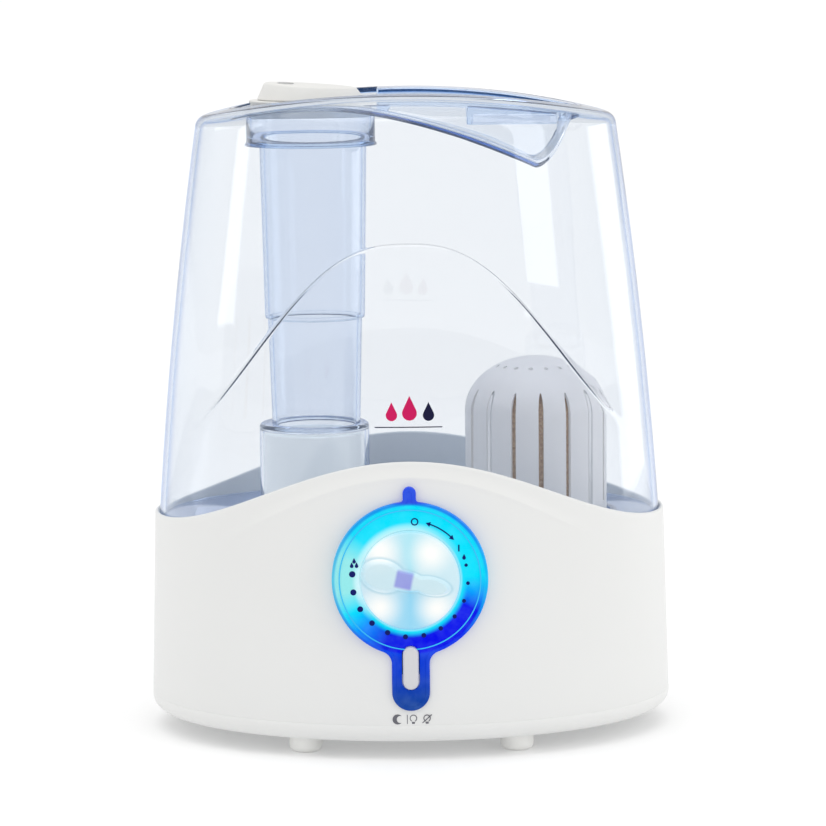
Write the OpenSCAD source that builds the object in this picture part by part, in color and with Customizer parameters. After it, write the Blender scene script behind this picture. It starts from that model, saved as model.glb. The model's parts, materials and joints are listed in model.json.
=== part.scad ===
// Cool mist humidifier: oval base with a lit dial, clear lift-off tank with a mist chimney,
// slotted water cartridge on the fill cap, and a turning mist nozzle on top.
// Millimetres. Origin: centre of the footprint on the resting surface. +Z up, the dial faces -Y.

/* [Base] */
// Half width of the base at the bottom seam, left to right
base_half_w = 129; // [128:0.5:130]
// Depth of every oval as a share of its width
oval_ratio = 0.72; // [0.71:0.01:0.73]
// How much the half width shrinks per millimetre of height
base_taper = 0.0293; // [0.02:0.001:0.03]
// Wall thickness of the base housing
base_wall = 2; // [1.8:0.1:2.1]
// Height of the seam between housing and bottom cover
seam_z = 16.4; // [16:0.1:17]
// Height of the housing rim at its left and right ends
rim_low_z = 108.4; // [107:0.1:109]
// How far the rim rises at the front centre
rim_rise_front = 35.3; // [33:0.1:37]
// How far the rim rises at the back centre
rim_rise_back = 25; // [22:0.5:29]
// Sharpness of the rim wave
rim_power = 3.7; // [3:0.1:4]

/* [Feet] */
// Height of the feet, and so of the underside
foot_h = 8; // [7.5:0.1:8.5]
// Radius of a foot
foot_r = 8; // [7:0.5:9]
// Distance of the feet from the centre, left to right
foot_x = 51; // [48:1:54]
// Distance of the feet from the centre, front to back
foot_y = 66; // [62:1:68]

/* [Water deck] */
// Top face of the deck under the tank
deck_z = 95; // [94.5:0.1:95.5]
// Floor of the water basin
basin_z = 58; // [57:0.5:59]
// Axis of the mist well, left of the centre
mist_x = -46.5; // [-48:0.5:-45]
// Axis of the fill cap, right of the centre
cap_x = 63; // [62:0.5:64]

/* [Dial] */
// Height of the dial axis
dial_z = 88; // [87:0.5:89]
// Outer radius of the lit ring
ring_r = 37; // [36:0.1:37.2]
// Radius of the knob
knob_r = 23.5; // [23:0.1:23.6]
// Front face of the lit ring, measured forwards from the centre
ring_front = 94.2; // [94:0.1:95]
// Front of the knob's grip, measured forwards from the centre
grip_front = 102.4; // [101:0.1:103]

/* [Tank] */
// Half width of the tank where it leaves the base
tank_half_w = 123.9; // [123.5:0.1:124]
// Wall thickness of the tank
tank_wall = 2.4; // [2:0.1:2.6]
// Highest point of the tank's crown
crown_top = 316.4; // [315:0.1:318]
// Radius of the crown's arc, left to right
crown_r = 370; // [360:5:400]
// Depth of the hand scoop below the crown
scoop_depth = 29; // [27:0.5:30]

/* [Cartridge] */
// Outer radius of the cartridge
cart_r = 35; // [34.5:0.1:35.2]
// Top of the cartridge's dome
cart_top = 183; // [181:0.5:184]
// Number of slots around the cartridge
cart_slots = 16; // [14:1:18]

/* [Hidden] */
$fn = 64;

seg = 64;            // sides of every oval
cover_t = 2.5;       // bottom cover thickness
cover_floor = foot_h + cover_t;
tank_z = 103.2;      // lower edge of the tank's skirt
floor_z = 104;       // underside of the tank floor
floor_t = 2.4;
deck_t = 3;
basin_t = 2.5;       // wall of the basin
mist_well_r = 33;
cap_well_r = 47;
channel_half = 20;
tube_x = mist_x + 1; // axis of the chimney's two tubes
corner_r = 7;        // rounding between tank wall and crown
crown_cross_r = 700; // radius of the crown's arc, front to back
scoop_a = 86;        // half width of the scoop's mouth
scoop_b = 50;        // half depth of the scoop's mouth
scoop_low_x = 62;    // deepest place of the scoop
scoop_start_x = -40; // where the scoop's floor starts to fall
scoop_high = 309;    // scoop floor around the nozzle
scoop_end_x = 82;    // where the scoop's floor is back at the top
sheet_t = 2.2;       // thickness of the scoop
scoop_steps = [0.25, 0.5, 0.64, 0.75, 0.84, 0.92];  // shares of the scoop where its floor has points
cover_posts = [[113, 0], [-113, 0], [42, -75], [-42, -75], [30, 79], [-30, 79]];
driver_box = [[-92, -52], [-28, -8]];
power_box = [[15, -50], [95, 0]];
board_z = 18;
board_t = 1.6;
board_inset = 4;     // screw to board edge
fan_pos = [-64, 40];
fan_r = 28;
fan_base = 14;
fan_top = 37;
duct_box = [[-105, -1], [-85, 25]];
duct_wall = 2;
tab_r = 3.15;        // half width of the tab over the lit ring
tab_rise = 41;       // centre of the tab's round end above the dial axis
tail_r = 9;          // half width of the ring's tail
tail_z = 33.8;       // centre of the tail's round end
control_y = -72;     // front face of the control board
led_ring = 10;       // white LEDs, sideways and up or down from the dial axis
button_z = 45.6;
button_w = 7.6;
button_h = 21;
gland_z = 34;
gland_bore_r = 3.6;
seal_step = 93;      // valve seal's lower face with the tank seated
float_x = 8;

// Half width of the base housing at height z
function base_half(z) = base_half_w - base_taper * (z - seam_z);
// Height of the base rim in direction ang, where 270 is the front
function rim_z(ang) = rim_low_z
    + (sin(ang) < 0 ? rim_rise_front : rim_rise_back) * pow(abs(sin(ang)), rim_power);
// Half width of the tank at height z
function tank_half(z) = z < 109 ? tank_half_w
    : tank_half_w - 0.0718 * (z - 109) - 0.0002 * pow(z - 109, 2);
// Half depth of the tank for half width w
function tank_depth(w) = oval_ratio * w - 1.5;
// Crown of the tank
function crown(x, y) = crown_top - x * x / (2 * crown_r) - y * y / (2 * crown_cross_r);
// Floor of the hand scoop
function scoop_fall(x) = x <= scoop_start_x ? 0
    : x <= scoop_low_x ? pow((x - scoop_start_x) / (scoop_low_x - scoop_start_x), 1.7)
    : x < scoop_end_x ? 1 - pow((x - scoop_low_x) / (scoop_end_x - scoop_low_x), 2) : 0;
function scoop_floor(x, y) = min(scoop_high - scoop_depth * scoop_fall(x), crown(x, y) - 1.5);

// Flat oval outline
function oval(a, b) = [for (i = [0 : seg - 1]) [a * cos(360 * i / seg), b * sin(360 * i / seg)]];
// Oval ring of points, all at height z
function ring(a, b, z) = [for (p = oval(a, b)) [p[0], p[1], z]];

// Solid through a stack of rings of seg points, closed by a fan at both ends
module loft(rings) {
    last = len(rings) - 1;
    low_mid = [for (k = [0 : 2]) [for (p = rings[0]) p[k]] * [for (p = rings[0]) 1 / seg]];
    high_mid = [for (k = [0 : 2]) [for (p = rings[last]) p[k]] * [for (p = rings[last]) 1 / seg]];
    points = concat([for (r = rings) each r], [low_mid, high_mid]);
    sides = [for (k = [0 : last - 1], i = [0 : seg - 1])
        let (j = (i + 1) % seg, a = k * seg, b = a + seg)
        each [[a + i, b + i, b + j], [a + i, b + j, a + j]]];
    caps = [for (i = [0 : seg - 1]) let (j = (i + 1) % seg)
        each [[i, j, len(points) - 2], [last * seg + j, last * seg + i, len(points) - 1]]];
    polyhedron(points, concat(sides, caps));
}

// Ring-shaped solid through a stack of rings, the last one joined to the first
module closed_loft(rings) {
    n = len(rings);
    sides = [for (k = [0 : n - 1], i = [0 : seg - 1])
        let (j = (i + 1) % seg, a = k * seg, b = ((k + 1) % n) * seg)
        each [[a + i, b + i, b + j], [a + i, b + j, a + j]]];
    polyhedron([for (r = rings) each r], sides);
}

module oval_plate(a, b, z0, z1) {
    translate([0, 0, z0]) linear_extrude(z1 - z0) polygon(oval(a, b));
}

module tube(r_out, r_in, z0, z1) {
    translate([0, 0, z0]) difference() {
        cylinder(r = r_out, h = z1 - z0);
        translate([0, 0, -1]) cylinder(r = r_in, h = z1 - z0 + 2);
    }
}

// Cylinder along Y between two depths
module y_rod(r, y0, y1, x = 0, z = 0) {
    translate([x, y1, z]) rotate([90, 0, 0]) cylinder(r = r, h = y1 - y0);
}

module block(low, high) {
    translate(low) cube(high - low);
}

// Upright stadium outline centred at (0, z)
module stadium(w, h, z) {
    half = (h - w) / 2;
    translate([0, z + half]) circle(d = w);
    translate([0, z - half]) circle(d = w);
    translate([-w / 2, z - half]) square([w, 2 * half]);
}

// ---- base housing ----

// Ring of the base wall: share t of the way from seam to rim, inset by o
function wall_ring(t, o, drop) = [for (i = [0 : seg - 1])
    let (ang = 360 * i / seg, z = seam_z + (rim_z(ang) - drop - seam_z) * t, a = base_half(z) - o,
        b = oval_ratio * base_half(z) - o)
    [a * cos(ang), b * sin(ang), z]];

// Outline of the lit ring with its tab and tail, grown by g
module bezel_outline(g) {
    translate([0, dial_z]) circle(r = ring_r + g);
    translate([-tab_r - g, dial_z]) square([2 * (tab_r + g), tab_rise]);
    translate([0, dial_z + tab_rise]) circle(r = tab_r + g);
    translate([-tail_r - g, tail_z]) square([2 * (tail_r + g), dial_z - tail_z]);
    translate([0, tail_z]) circle(r = tail_r + g);
}

module base_shell() {
    color("white") difference() {
        closed_loft([wall_ring(0, 0, 0), wall_ring(0.5, 0, 0), wall_ring(1, 0, 0.7),
            wall_ring(1, 0.6, 0), wall_ring(1, base_wall - 0.4, 0), wall_ring(1, base_wall, 0.5),
            wall_ring(0.5, base_wall, 0), wall_ring(0, base_wall, 0)]);
        translate([0, -60, 0]) rotate([90, 0, 0]) linear_extrude(60) bezel_outline(0.3);
        y_rod(6.7, 70, 110, z = gland_z);
    }
}

module bottom_cover() {
    color("white") {
        difference() {
            loft([ring(119, oval_ratio * 119, foot_h), ring(125.5, oval_ratio * 125.5, foot_h + 2),
                ring(128.3, oval_ratio * 128.3, foot_h + 5.2),
                ring(base_half_w, oval_ratio * base_half_w, seam_z)]);
            oval_plate(base_half_w - 6, oval_ratio * base_half_w - 6, cover_floor, seam_z + 1);
            for (p = cover_posts) translate([p[0], p[1], 0]) {
                cylinder(r = 1.7, h = 30);
                cylinder(r = 3.3, h = foot_h + 1.3);
            }
            for (k = [-3 : 3]) translate([fan_pos[0] + 6 * k - 1.5, fan_pos[1] - 14, 0])
                cube([3, 28, 20]);
        }
        for (b = [driver_box, power_box], p = board_corners(b)) translate([p[0], p[1], 0])
            tube(3, 1.2, cover_floor - 0.5, board_z);
    }
}

module feet() {
    color("gainsboro") for (sx = [-1, 1], sy = [-1, 1]) translate([sx * foot_x, sy * foot_y, 0])
        rotate_extrude() {
            square([foot_r - 3, foot_h]);
            translate([0, 3]) square([foot_r, foot_h - 3]);
            translate([foot_r - 3, 3]) circle(r = 3);
        }
}

module cover_screws() {
    color("silver") for (p = cover_posts) translate([p[0], p[1], foot_h]) {
        cylinder(r = 3.1, h = 1.3);
        cylinder(r = 1.55, h = 22);
    }
}

// ---- water deck ----

module basin_outline(g) {
    translate([mist_x, 0]) circle(r = mist_well_r + g);
    translate([cap_x, 0]) circle(r = cap_well_r + g);
    translate([mist_x, -channel_half - g]) square([cap_x - mist_x, 2 * (channel_half + g)]);
}

module base_deck() {
    lip = base_half(deck_z) - base_wall - 0.6;
    lip_b = oval_ratio * base_half(deck_z) - base_wall - 0.6;
    color("white") difference() {
        union() {
            oval_plate(lip, lip_b, deck_z - deck_t, deck_z);
            difference() {
                oval_plate(lip, lip_b, deck_z - 1, tank_z - 0.2);
                oval_plate(lip - 3, lip_b - 3, deck_z - 2, tank_z + 1);
            }
            translate([0, 0, basin_z - basin_t]) linear_extrude(deck_z - basin_z + basin_t)
                basin_outline(basin_t);
            // raised bay over the dial's works
            block([-34, -84, deck_z - 1], [34, -64, floor_z - 1]);
            for (p = cover_posts) translate([p[0], p[1], cover_floor + 0.1])
                cylinder(r = 4.5, h = deck_z - 1 - cover_floor);
            for (p = transducer_spots()) translate([p[0], p[1], 52.5]) cylinder(r = 3.5, h = 5);
        }
        translate([0, 0, basin_z]) linear_extrude(deck_z) basin_outline(0);
        block([-32, -82, deck_z - 10], [32, -66, floor_z - 3]);
        block([duct_box[0][0] + duct_wall, duct_box[0][1] + duct_wall, deck_z - 10],
            [duct_box[1][0] - duct_wall, duct_box[1][1] - duct_wall, deck_z + 10]);
        for (p = cover_posts) translate([p[0], p[1], 0]) cylinder(r = 1.6, h = 34);
        translate([mist_x, 0, 0]) cylinder(r = 10, h = basin_z + 1);
        for (p = transducer_spots()) translate([p[0], p[1], 50]) cylinder(r = 1.2, h = 6.5);
    }
    color("white") {
        translate([cap_x, 0, basin_z - 0.5]) cylinder(r = 4, h = 79 - basin_z + 0.3);
        translate([float_x, 0, basin_z - 0.5]) cylinder(r = 2.5, h = 27.5);
    }
}

module mist_duct() {
    translate([0, 0, deck_z + 0.1]) color("white") difference() {
        union() {
            linear_extrude(7.3) duct_foot(0);
            translate([mist_x, 0, 0]) cylinder(r1 = 24.9, r2 = 24.4, h = 51.4);
        }
        translate([0, 0, -1]) linear_extrude(6.5) duct_foot(-1.8);
        translate([mist_x, 0, -1]) cylinder(r = 22.6, h = 60);
    }
}

module duct_foot(g) {
    translate([mist_x, 0]) circle(r = 37 + g);
    translate([-107 - g, -3 - g]) square([107 + mist_x + g, 30 + 2 * g]);
}

// ---- transducer ----

function transducer_spots() = [for (k = [0 : 2]) [mist_x + 17 * cos(120 * k + 30), 17 * sin(120 * k + 30)]];

module transducer_disc() {
    color("silver") translate([mist_x, 0, 52.3]) cylinder(r = 12.5, h = 1.2);
}

module transducer_seal() {
    color("dimgray") translate([mist_x, 0, 0]) tube(13, 9, 53.5, 55.5);
}

module transducer_ring() {
    color("gainsboro") difference() {
        translate([mist_x, 0, 0]) tube(21, 8, 49.3, 52.3);
        for (p = transducer_spots()) translate([p[0], p[1], 48]) cylinder(r = 1.4, h = 6);
    }
}

module transducer_screws() {
    color("silver") for (p = transducer_spots()) translate([p[0], p[1], 0]) {
        translate([0, 0, 47.6]) cylinder(r = 2.6, h = 1.7);
        translate([0, 0, 48]) cylinder(r = 1.15, h = 8);
    }
}

// ---- electronics in the base ----

function board_corners(b) = [for (x = [b[0][0] + board_inset, b[1][0] - board_inset],
    y = [b[0][1] + board_inset, b[1][1] - board_inset]) [x, y]];

module board(b) {
    difference() {
        block([b[0][0], b[0][1], board_z], [b[1][0], b[1][1], board_z + board_t]);
        for (p = board_corners(b)) translate([p[0], p[1], board_z - 1]) cylinder(r = 1.4, h = 5);
    }
}

module driver_board() {
    top = board_z + board_t;
    color("seagreen") board(driver_box);
    color("goldenrod") translate([-42, -18, top]) difference() {
        cylinder(r = 6, h = 7);
        translate([0, 0, 1]) cylinder(r = 3, h = 7);
    }
    color("black") for (x = [-44, -36]) translate([x, -34, top]) cylinder(r = 3, h = 10);
}

module driver_heatsink() {
    color("silver") translate([-84, -46, board_z + board_t]) {
        cube([34, 26, 3]);
        for (k = [0 : 6]) translate([k * 5.33, 0, 2]) cube([2, 26, 16]);
    }
}

module power_board() {
    top = board_z + board_t;
    color("seagreen") board(power_box);
    color("black") for (x = [30, 46]) translate([x, -36, top]) cylinder(r = 6, h = 20);
    color("gold") block([60, -44, top], [78, -34, top + 12]);
    color("white") block([24, -14, top], [40, -6, top + 8]);
}

module transformer_core() {
    color("dimgray") difference() {
        block([40, 18, cover_floor], [84, 54, 47]);
        block([48, 17, 19], [56, 55, 39]);
        block([68, 17, 19], [76, 55, 39]);
    }
}

module transformer_coil() {
    color("sienna") difference() {
        block([48.2, 12, 19.2], [75.8, 60, 38.8]);
        block([55.8, 17.8, 18], [68.2, 54.2, 40]);
    }
}

module board_screws() {
    color("silver") for (b = [driver_box, power_box], p = board_corners(b))
        translate([p[0], p[1], 0]) {
            translate([0, 0, board_z + board_t]) cylinder(r = 2.5, h = 1.6);
            translate([0, 0, board_z - 5]) cylinder(r = 1.15, h = 7);
        }
}

// ---- blower ----

module fan_outline(g) {
    translate(fan_pos) circle(r = fan_r + g);
    translate([duct_box[0][0] - g, duct_box[0][1] - g])
        square([fan_pos[0] - duct_box[0][0] + g, fan_pos[1] - duct_box[0][1]]);
}

module fan_housing() {
    color("dimgray") difference() {
        translate([0, 0, fan_base]) linear_extrude(fan_top - fan_base) fan_outline(0);
        translate([0, 0, fan_base + 2]) linear_extrude(fan_top - fan_base - 4) fan_outline(-2);
        translate([fan_pos[0], fan_pos[1], fan_base - 1]) cylinder(r = 17, h = 4);
        block([duct_box[0][0] + 2, duct_box[0][1] + 2, fan_top - 3],
            [duct_box[1][0] - 2, duct_box[1][1] - 2, fan_top + 1]);
    }
    color("dimgray") translate([fan_pos[0], fan_pos[1], fan_top - 10]) cylinder(r = 2, h = 9);
}

module fan_rotor() {
    color("black") translate([fan_pos[0], fan_pos[1], 0]) {
        difference() {
            union() {
                translate([0, 0, 31]) cylinder(r = 23, h = 1.5);
                translate([0, 0, 22]) cylinder(r = 8, h = 10);
            }
            translate([0, 0, 25]) cylinder(r = 2.08, h = 10);
        }
        tube(23, 20.5, 18, 19.5);
        for (k = [0 : 19]) rotate(18 * k) translate([21.5, -0.5, 19]) rotate(30)
            translate([-1.2, 0, 0]) cube([2.4, 1, 12.5]);
    }
}

module air_duct() {
    color("gray") difference() {
        block([duct_box[0][0], duct_box[0][1], fan_top], [duct_box[1][0], duct_box[1][1], deck_z - deck_t]);
        block([duct_box[0][0] + duct_wall, duct_box[0][1] + duct_wall, fan_top - 1],
            [duct_box[1][0] - duct_wall, duct_box[1][1] - duct_wall, deck_z]);
    }
}

module intake_filter() {
    color("darkgray") translate([fan_pos[0], fan_pos[1], cover_floor]) cylinder(r = 24, h = 3.3);
}

// ---- float ----

module float_body() {
    color("white") translate([float_x, 0, 0]) tube(12, 3.2, basin_z + 0.4, basin_z + 10.4);
}

module float_clip() {
    color("gainsboro") translate([float_x, 0, 0]) tube(5, 2.5, 82, 84);
}

// ---- dial works ----

module control_board() {
    color("seagreen") difference() {
        block([-30, control_y, 38], [30, control_y + board_t, 99]);
        y_rod(1.6, control_y - 1, control_y + 3, -26, 42);
        y_rod(1.6, control_y - 1, control_y + 3, 26, 42);
    }
}

module potentiometer() {
    color("silver") difference() {
        union() {
            y_rod(8, -81, control_y, z = dial_z);
            y_rod(3.9, -85, -80, z = dial_z);
        }
        y_rod(3.06, -86, -78, z = dial_z);
    }
}

module dial_shaft() {
    color("gainsboro") y_rod(3, -95, -78.5, z = dial_z);
}

module led(x, z) {
    y_rod(2.4, control_y - 5, control_y, x, z);
    translate([x, control_y - 5, z]) sphere(r = 2.4);
}

module leds_white() {
    color("ivory") for (sx = [-1, 1], sz = [-1, 1]) led(sx * led_ring, dial_z + sz * led_ring);
}

module leds_blue() {
    color("royalblue") for (p = [[-20, 70], [20, 70], [-12, 60], [12, 60]]) led(p[0], p[1]);
}

module light_switch() {
    color("black") block([-4, control_y - 6, button_z - 4], [4, control_y, button_z + 4]);
    color("white") y_rod(1.6, control_y - 8.6, control_y - 5, z = button_z);
}

module dial_bezel() {
    color("deepskyblue") difference() {
        translate([0, -85, 0]) rotate([90, 0, 0]) linear_extrude(ring_front - 85) bezel_outline(0);
        // the back follows the inside of the housing wall
        oval_plate(base_half(120) - base_wall, oval_ratio * base_half(120) - base_wall, 0, 200);
        // seat of the knob
        y_rod(knob_r + 0.5, -ring_front - 1, -91, z = dial_z);
        y_rod(3.8, -100, -80, z = dial_z);
        // slot of the button
        translate([0, -80, 0]) rotate([90, 0, 0]) linear_extrude(20)
            stadium(button_w + 0.8, button_h + 0.8, button_z);
    }
}

module knob() {
    grip_turn = 8.6;
    color("whitesmoke") translate([0, -91.4, dial_z]) rotate([90, 0, 0]) difference() {
        union() {
            cylinder(r = knob_r - 0.8, h = 5.6);
            translate([0, 0, 0.8]) cylinder(r = knob_r, h = 3.6);
            translate([0, 0, 4.4]) cylinder(r1 = knob_r, r2 = knob_r - 1.6, h = 1.2);
            translate([0, 0, 5.6]) cylinder(r1 = knob_r - 1.6, r2 = 10, h = 1.8);
            rotate(-grip_turn) {
                translate([-12.5, 0, 0]) cylinder(r = 8.6, h = grip_front - 91.4);
                translate([13, 0, 0]) cylinder(r = 5.8, h = grip_front - 91.4);
                translate([-12.5, -4, 0]) cube([25.5, 8, grip_front - 91.4]);
            }
        }
        translate([0, 0, -1]) cylinder(r = 3.03, h = 5);
        translate([0, 0, -1]) tube(knob_r - 3, 6, 0, 3);
    }
}

module night_light_button() {
    color("gainsboro") {
        translate([0, -87, 0]) rotate([90, 0, 0]) linear_extrude(95.6 - 87)
            stadium(button_w, button_h, button_z);
        y_rod(1.8, -87.5, -83, z = button_z);
    }
}

module cord_gland() {
    color("gainsboro") difference() {
        union() {
            y_rod(6.5, 82, grip_front, z = gland_z);
            y_rod(9, 92.9, 95.5, z = gland_z);
            y_rod(9, 84, 88, z = gland_z);
        }
        y_rod(gland_bore_r, 80, grip_front + 1, z = gland_z);
    }
}

// ---- tank ----

// Ring of the tank's side at share t of its height, inset by o
function tank_ring(t, o) = [for (i = [0 : seg - 1])
    let (ang = 360 * i / seg, w = tank_half(290) - corner_r, edge = crown(w * cos(ang), tank_depth(w) * sin(ang)),
        z = tank_z + (edge - corner_r - tank_z) * t, a = tank_half(z) - o, b = tank_depth(tank_half(z)) - o)
    [a * cos(ang), b * sin(ang), z]];

// Ring on the rounded corner, turned th degrees up from the wall, inset by o
function corner_ring(th, o) = [for (i = [0 : seg - 1])
    let (ang = 360 * i / seg, low = tank_ring(1, 0)[i], r = corner_r,
        a = tank_half(low[2]) - r + (r - o) * cos(th),
        b = tank_depth(tank_half(low[2])) - r + (r - o) * cos(th))
    [a * cos(ang), b * sin(ang), low[2] + (r - o) * sin(th)]];

// Ring on the crown at share s of the way out, lowered by o
function crown_ring(s, o) = [for (p = oval(s * (tank_half(303) - corner_r),
        s * (tank_depth(tank_half(303)) - corner_r)))
    [p[0], p[1], crown(p[0], p[1]) - o]];

module tank_shell() {
    o = tank_wall;
    color([0.75, 0.85, 1, 0.35]) difference() {
        loft([crown_ring(0.4, o), crown_ring(0.9, o), corner_ring(60, o), corner_ring(20, o),
            tank_ring(0.93, o), tank_ring(0.65, o), tank_ring(0.3, o), tank_ring(0, o),
            tank_ring(0, 0), tank_ring(0.3, 0), tank_ring(0.65, 0), tank_ring(0.93, 0),
            corner_ring(20, 0), corner_ring(60, 0), crown_ring(0.9, 0), crown_ring(0.4, 0)]);
        oval_plate(scoop_a + 0.15, scoop_b + 0.15, 270, 330);
    }
}

// Ring on the scoop's floor at share s of the way out, lowered by o
function scoop_ring(s, o) = [for (p = oval(s * (scoop_a - sheet_t), s * (scoop_b - sheet_t)))
    [p[0], p[1], scoop_floor(p[0], p[1]) - o]];
// Ring on the scoop's upright wall, inset by o, at the crown or lowered to the floor
function scoop_edge(o, down) = [for (p = oval(scoop_a - o, scoop_b - o))
    [p[0], p[1], down > 0 ? scoop_floor(p[0], p[1]) - down : crown(p[0], p[1])]];

module tank_top() {
    t = sheet_t;
    color([0.6, 0.75, 1, 0.5]) difference() {
        loft(concat([for (s = scoop_steps) scoop_ring(s, t)],
            [scoop_edge(0, t), scoop_edge(0, 0), scoop_edge(t, 0), scoop_ring(1, 0)],
            [for (k = [1 : len(scoop_steps)]) scoop_ring(scoop_steps[len(scoop_steps) - k], 0)]));
        translate([mist_x, 0, 290]) cylinder(r = 29.8, h = 40);
    }
}

module tank_floor() {
    w = tank_half(floor_z) - tank_wall - 0.2;
    b = tank_depth(tank_half(floor_z)) - tank_wall - 0.2;
    color([0.75, 0.85, 1, 0.35]) difference() {
        union() {
            oval_plate(w, b, floor_z, floor_z + floor_t);
            translate([mist_x, 0, floor_z]) cylinder(r = 27.1, h = 47);
            translate([cap_x, 0, 89.5]) cylinder(r = 40, h = floor_z + floor_t - 89.5);
        }
        translate([mist_x, 0, floor_z - 1]) cylinder(r = 25.5, h = 46);
        translate([tube_x, 0, 140]) cylinder(r = 21.85, h = 20);
        translate([cap_x, 0, 80]) cylinder(r = 36.8, h = 40);
    }
}

module chimney_upper() {
    color([0.6, 0.75, 1, 0.5]) {
        translate([mist_x, 0, 0]) tube(31.6, 29.8, 289.9, scoop_high - sheet_t - 0.05);
        difference() {
            translate([mist_x, 0, 288]) cylinder(r = 32.4, h = 2);
            translate([tube_x, 0, 280]) cylinder(r = 24.4, h = 20);
        }
        translate([tube_x, 0, 205]) difference() {
            cylinder(r1 = 24.6, r2 = 26.2, h = 83.5);
            translate([0, 0, -1]) cylinder(r1 = 22.8, r2 = 24.45, h = 86);
        }
        // socket for the lower tube
        translate([tube_x, 0, 203]) difference() {
            cylinder(r = 24.6, h = 2.1);
            translate([0, 0, -1]) cylinder(r = 23.35, h = 1.2);
            translate([0, 0, -1]) cylinder(r = 21.4, h = 5);
        }
    }
}

module chimney_lower() {
    color([0.6, 0.75, 1, 0.5]) translate([tube_x, 0, 149.2]) difference() {
        cylinder(r1 = 21.7, r2 = 23.2, h = 53.9);
        translate([0, 0, -1]) cylinder(r1 = 19.9, r2 = 21.4, h = 55.9);
    }
}

module tank_handle() {
    x0 = -14;
    x1 = 84.6;
    grip0 = 29.5;
    steps = 14;
    top = [for (k = [0 : steps]) let (x = x0 + (x1 - x0) * k / steps) [x, crown(x, 0) - 0.1]];
    under = [[x1, crown(x1, 0) - 4], [76, 298.3], [grip0, 298.3], [grip0, crown(grip0, 0) - 5],
        [-7, crown(0, 0) - 5.5], [-9, 304.2], [x0, 305.2]];
    color([0.6, 0.75, 1, 0.5]) difference() {
        translate([0, 12, 0]) rotate([90, 0, 0]) linear_extrude(24) polygon(concat(top, under));
        block([grip0 + 2.4, -9.6, 290], [75, 9.6, 305]);
    }
}

// ---- nozzle ----

module nozzle_ring() {
    color("white") translate([mist_x, 0, 0]) {
        tube(29.5, 23.38, 303, 309.4);
        tube(30.2, 23.38, scoop_high + 0.15, 310.4);
    }
}

module nozzle_spout() {
    color("whitesmoke") translate([mist_x, 0, 0]) difference() {
        union() {
            translate([0, 0, 310.6]) cylinder(r1 = 26, r2 = 22.5, h = 9.2);
            translate([0, 0, 305]) cylinder(r = 23.3, h = 6);
        }
        translate([0, 0, 304]) cylinder(r = 21.3, h = 12);
        // slanted top
        translate([-26, -30, 319.6]) rotate([0, 4, 0]) cube([60, 60, 10]);
        // mist outlet on the high side
        for (y = [-7, 7]) translate([-12, y, 310]) cylinder(r = 4, h = 20);
        block([-16, -7, 310], [-8, 7, 330]);
    }
}

// ---- fill cap, cartridge and valve ----

module fill_cap() {
    color("gainsboro") translate([cap_x, 0, 0]) {
        difference() {
            union() {
                translate([0, 0, 86]) cylinder(r = 43.4, h = 15);
                for (k = [0 : 23]) rotate(15 * k + 2) translate([42, -0.9, 87]) cube([2.3, 1.8, 12.6]);
            }
            translate([0, 0, 88.5]) cylinder(r = 40.4, h = 20);
            translate([0, 0, 80]) cylinder(r = 7, h = 20);
        }
    }
}

module cap_gasket() {
    color("dimgray") translate([cap_x, 0, 0]) tube(40.2, 36.9, 88.5, 89.45);
}

// Dome outline: quarter oval from the side up to the axis
function dome(r, h, z) = [for (a = [0 : 7.5 : 90]) [r * cos(a), z + h * sin(a)]];

module dome_solid(r, top, h, z0) {
    rotate_extrude() polygon(concat([[0, z0], [r, z0]], dome(r, h, top - h)));
}

module cartridge_housing() {
    slot_w = 2.3;
    color("lightgray") translate([cap_x, 0, 0]) difference() {
        dome_solid(cart_r, cart_top, 27, 88.5);
        difference() {
            dome_solid(cart_r - 2.2, cart_top - 2.2, 25, 80);
            translate([0, 0, 104]) cylinder(r = cart_r, h = 2);
            translate([0, 0, 96.8]) cylinder(r = 5, h = 8);
        }
        translate([0, 0, 80]) cylinder(r = 3.06, h = 30);
        for (k = [0 : cart_slots - 1]) rotate(272 + 360 * k / cart_slots) {
            translate([18, -slot_w / 2, 112]) cube([20, slot_w, 56]);
            rotate(180 / cart_slots) translate([19, 0, 160]) cylinder(r = 1.1, h = 30);
        }
        for (k = [0 : 11]) rotate(30 * k) translate([24, 0, 100]) cylinder(r = 2.2, h = 8);
    }
}

module cartridge_sleeve() {
    color("tan") translate([cap_x, 0, 0]) difference() {
        dome_solid(cart_r - 2.4, cart_top - 6, 22, 106.1);
        dome_solid(cart_r - 3.2, cart_top - 7, 21.4, 106);
    }
}

module resin_fill() {
    color("saddlebrown") translate([cap_x, 0, 106.2]) cylinder(r = cart_r - 3.3, h = 44);
}

module valve_plunger() {
    color("gainsboro") translate([cap_x, 0, 0]) {
        translate([0, 0, 79.1]) cylinder(r = 2.5, h = 20);
        translate([0, 0, seal_step + 1.5]) cylinder(r = 9, h = 1.5);
        translate([0, 0, seal_step + 2.5]) cylinder(r = 3, h = 7.7);
    }
}

module valve_seal() {
    color("dimgray") translate([cap_x, 0, 0]) tube(10, 2.55, seal_step, seal_step + 1.5);
}

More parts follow.
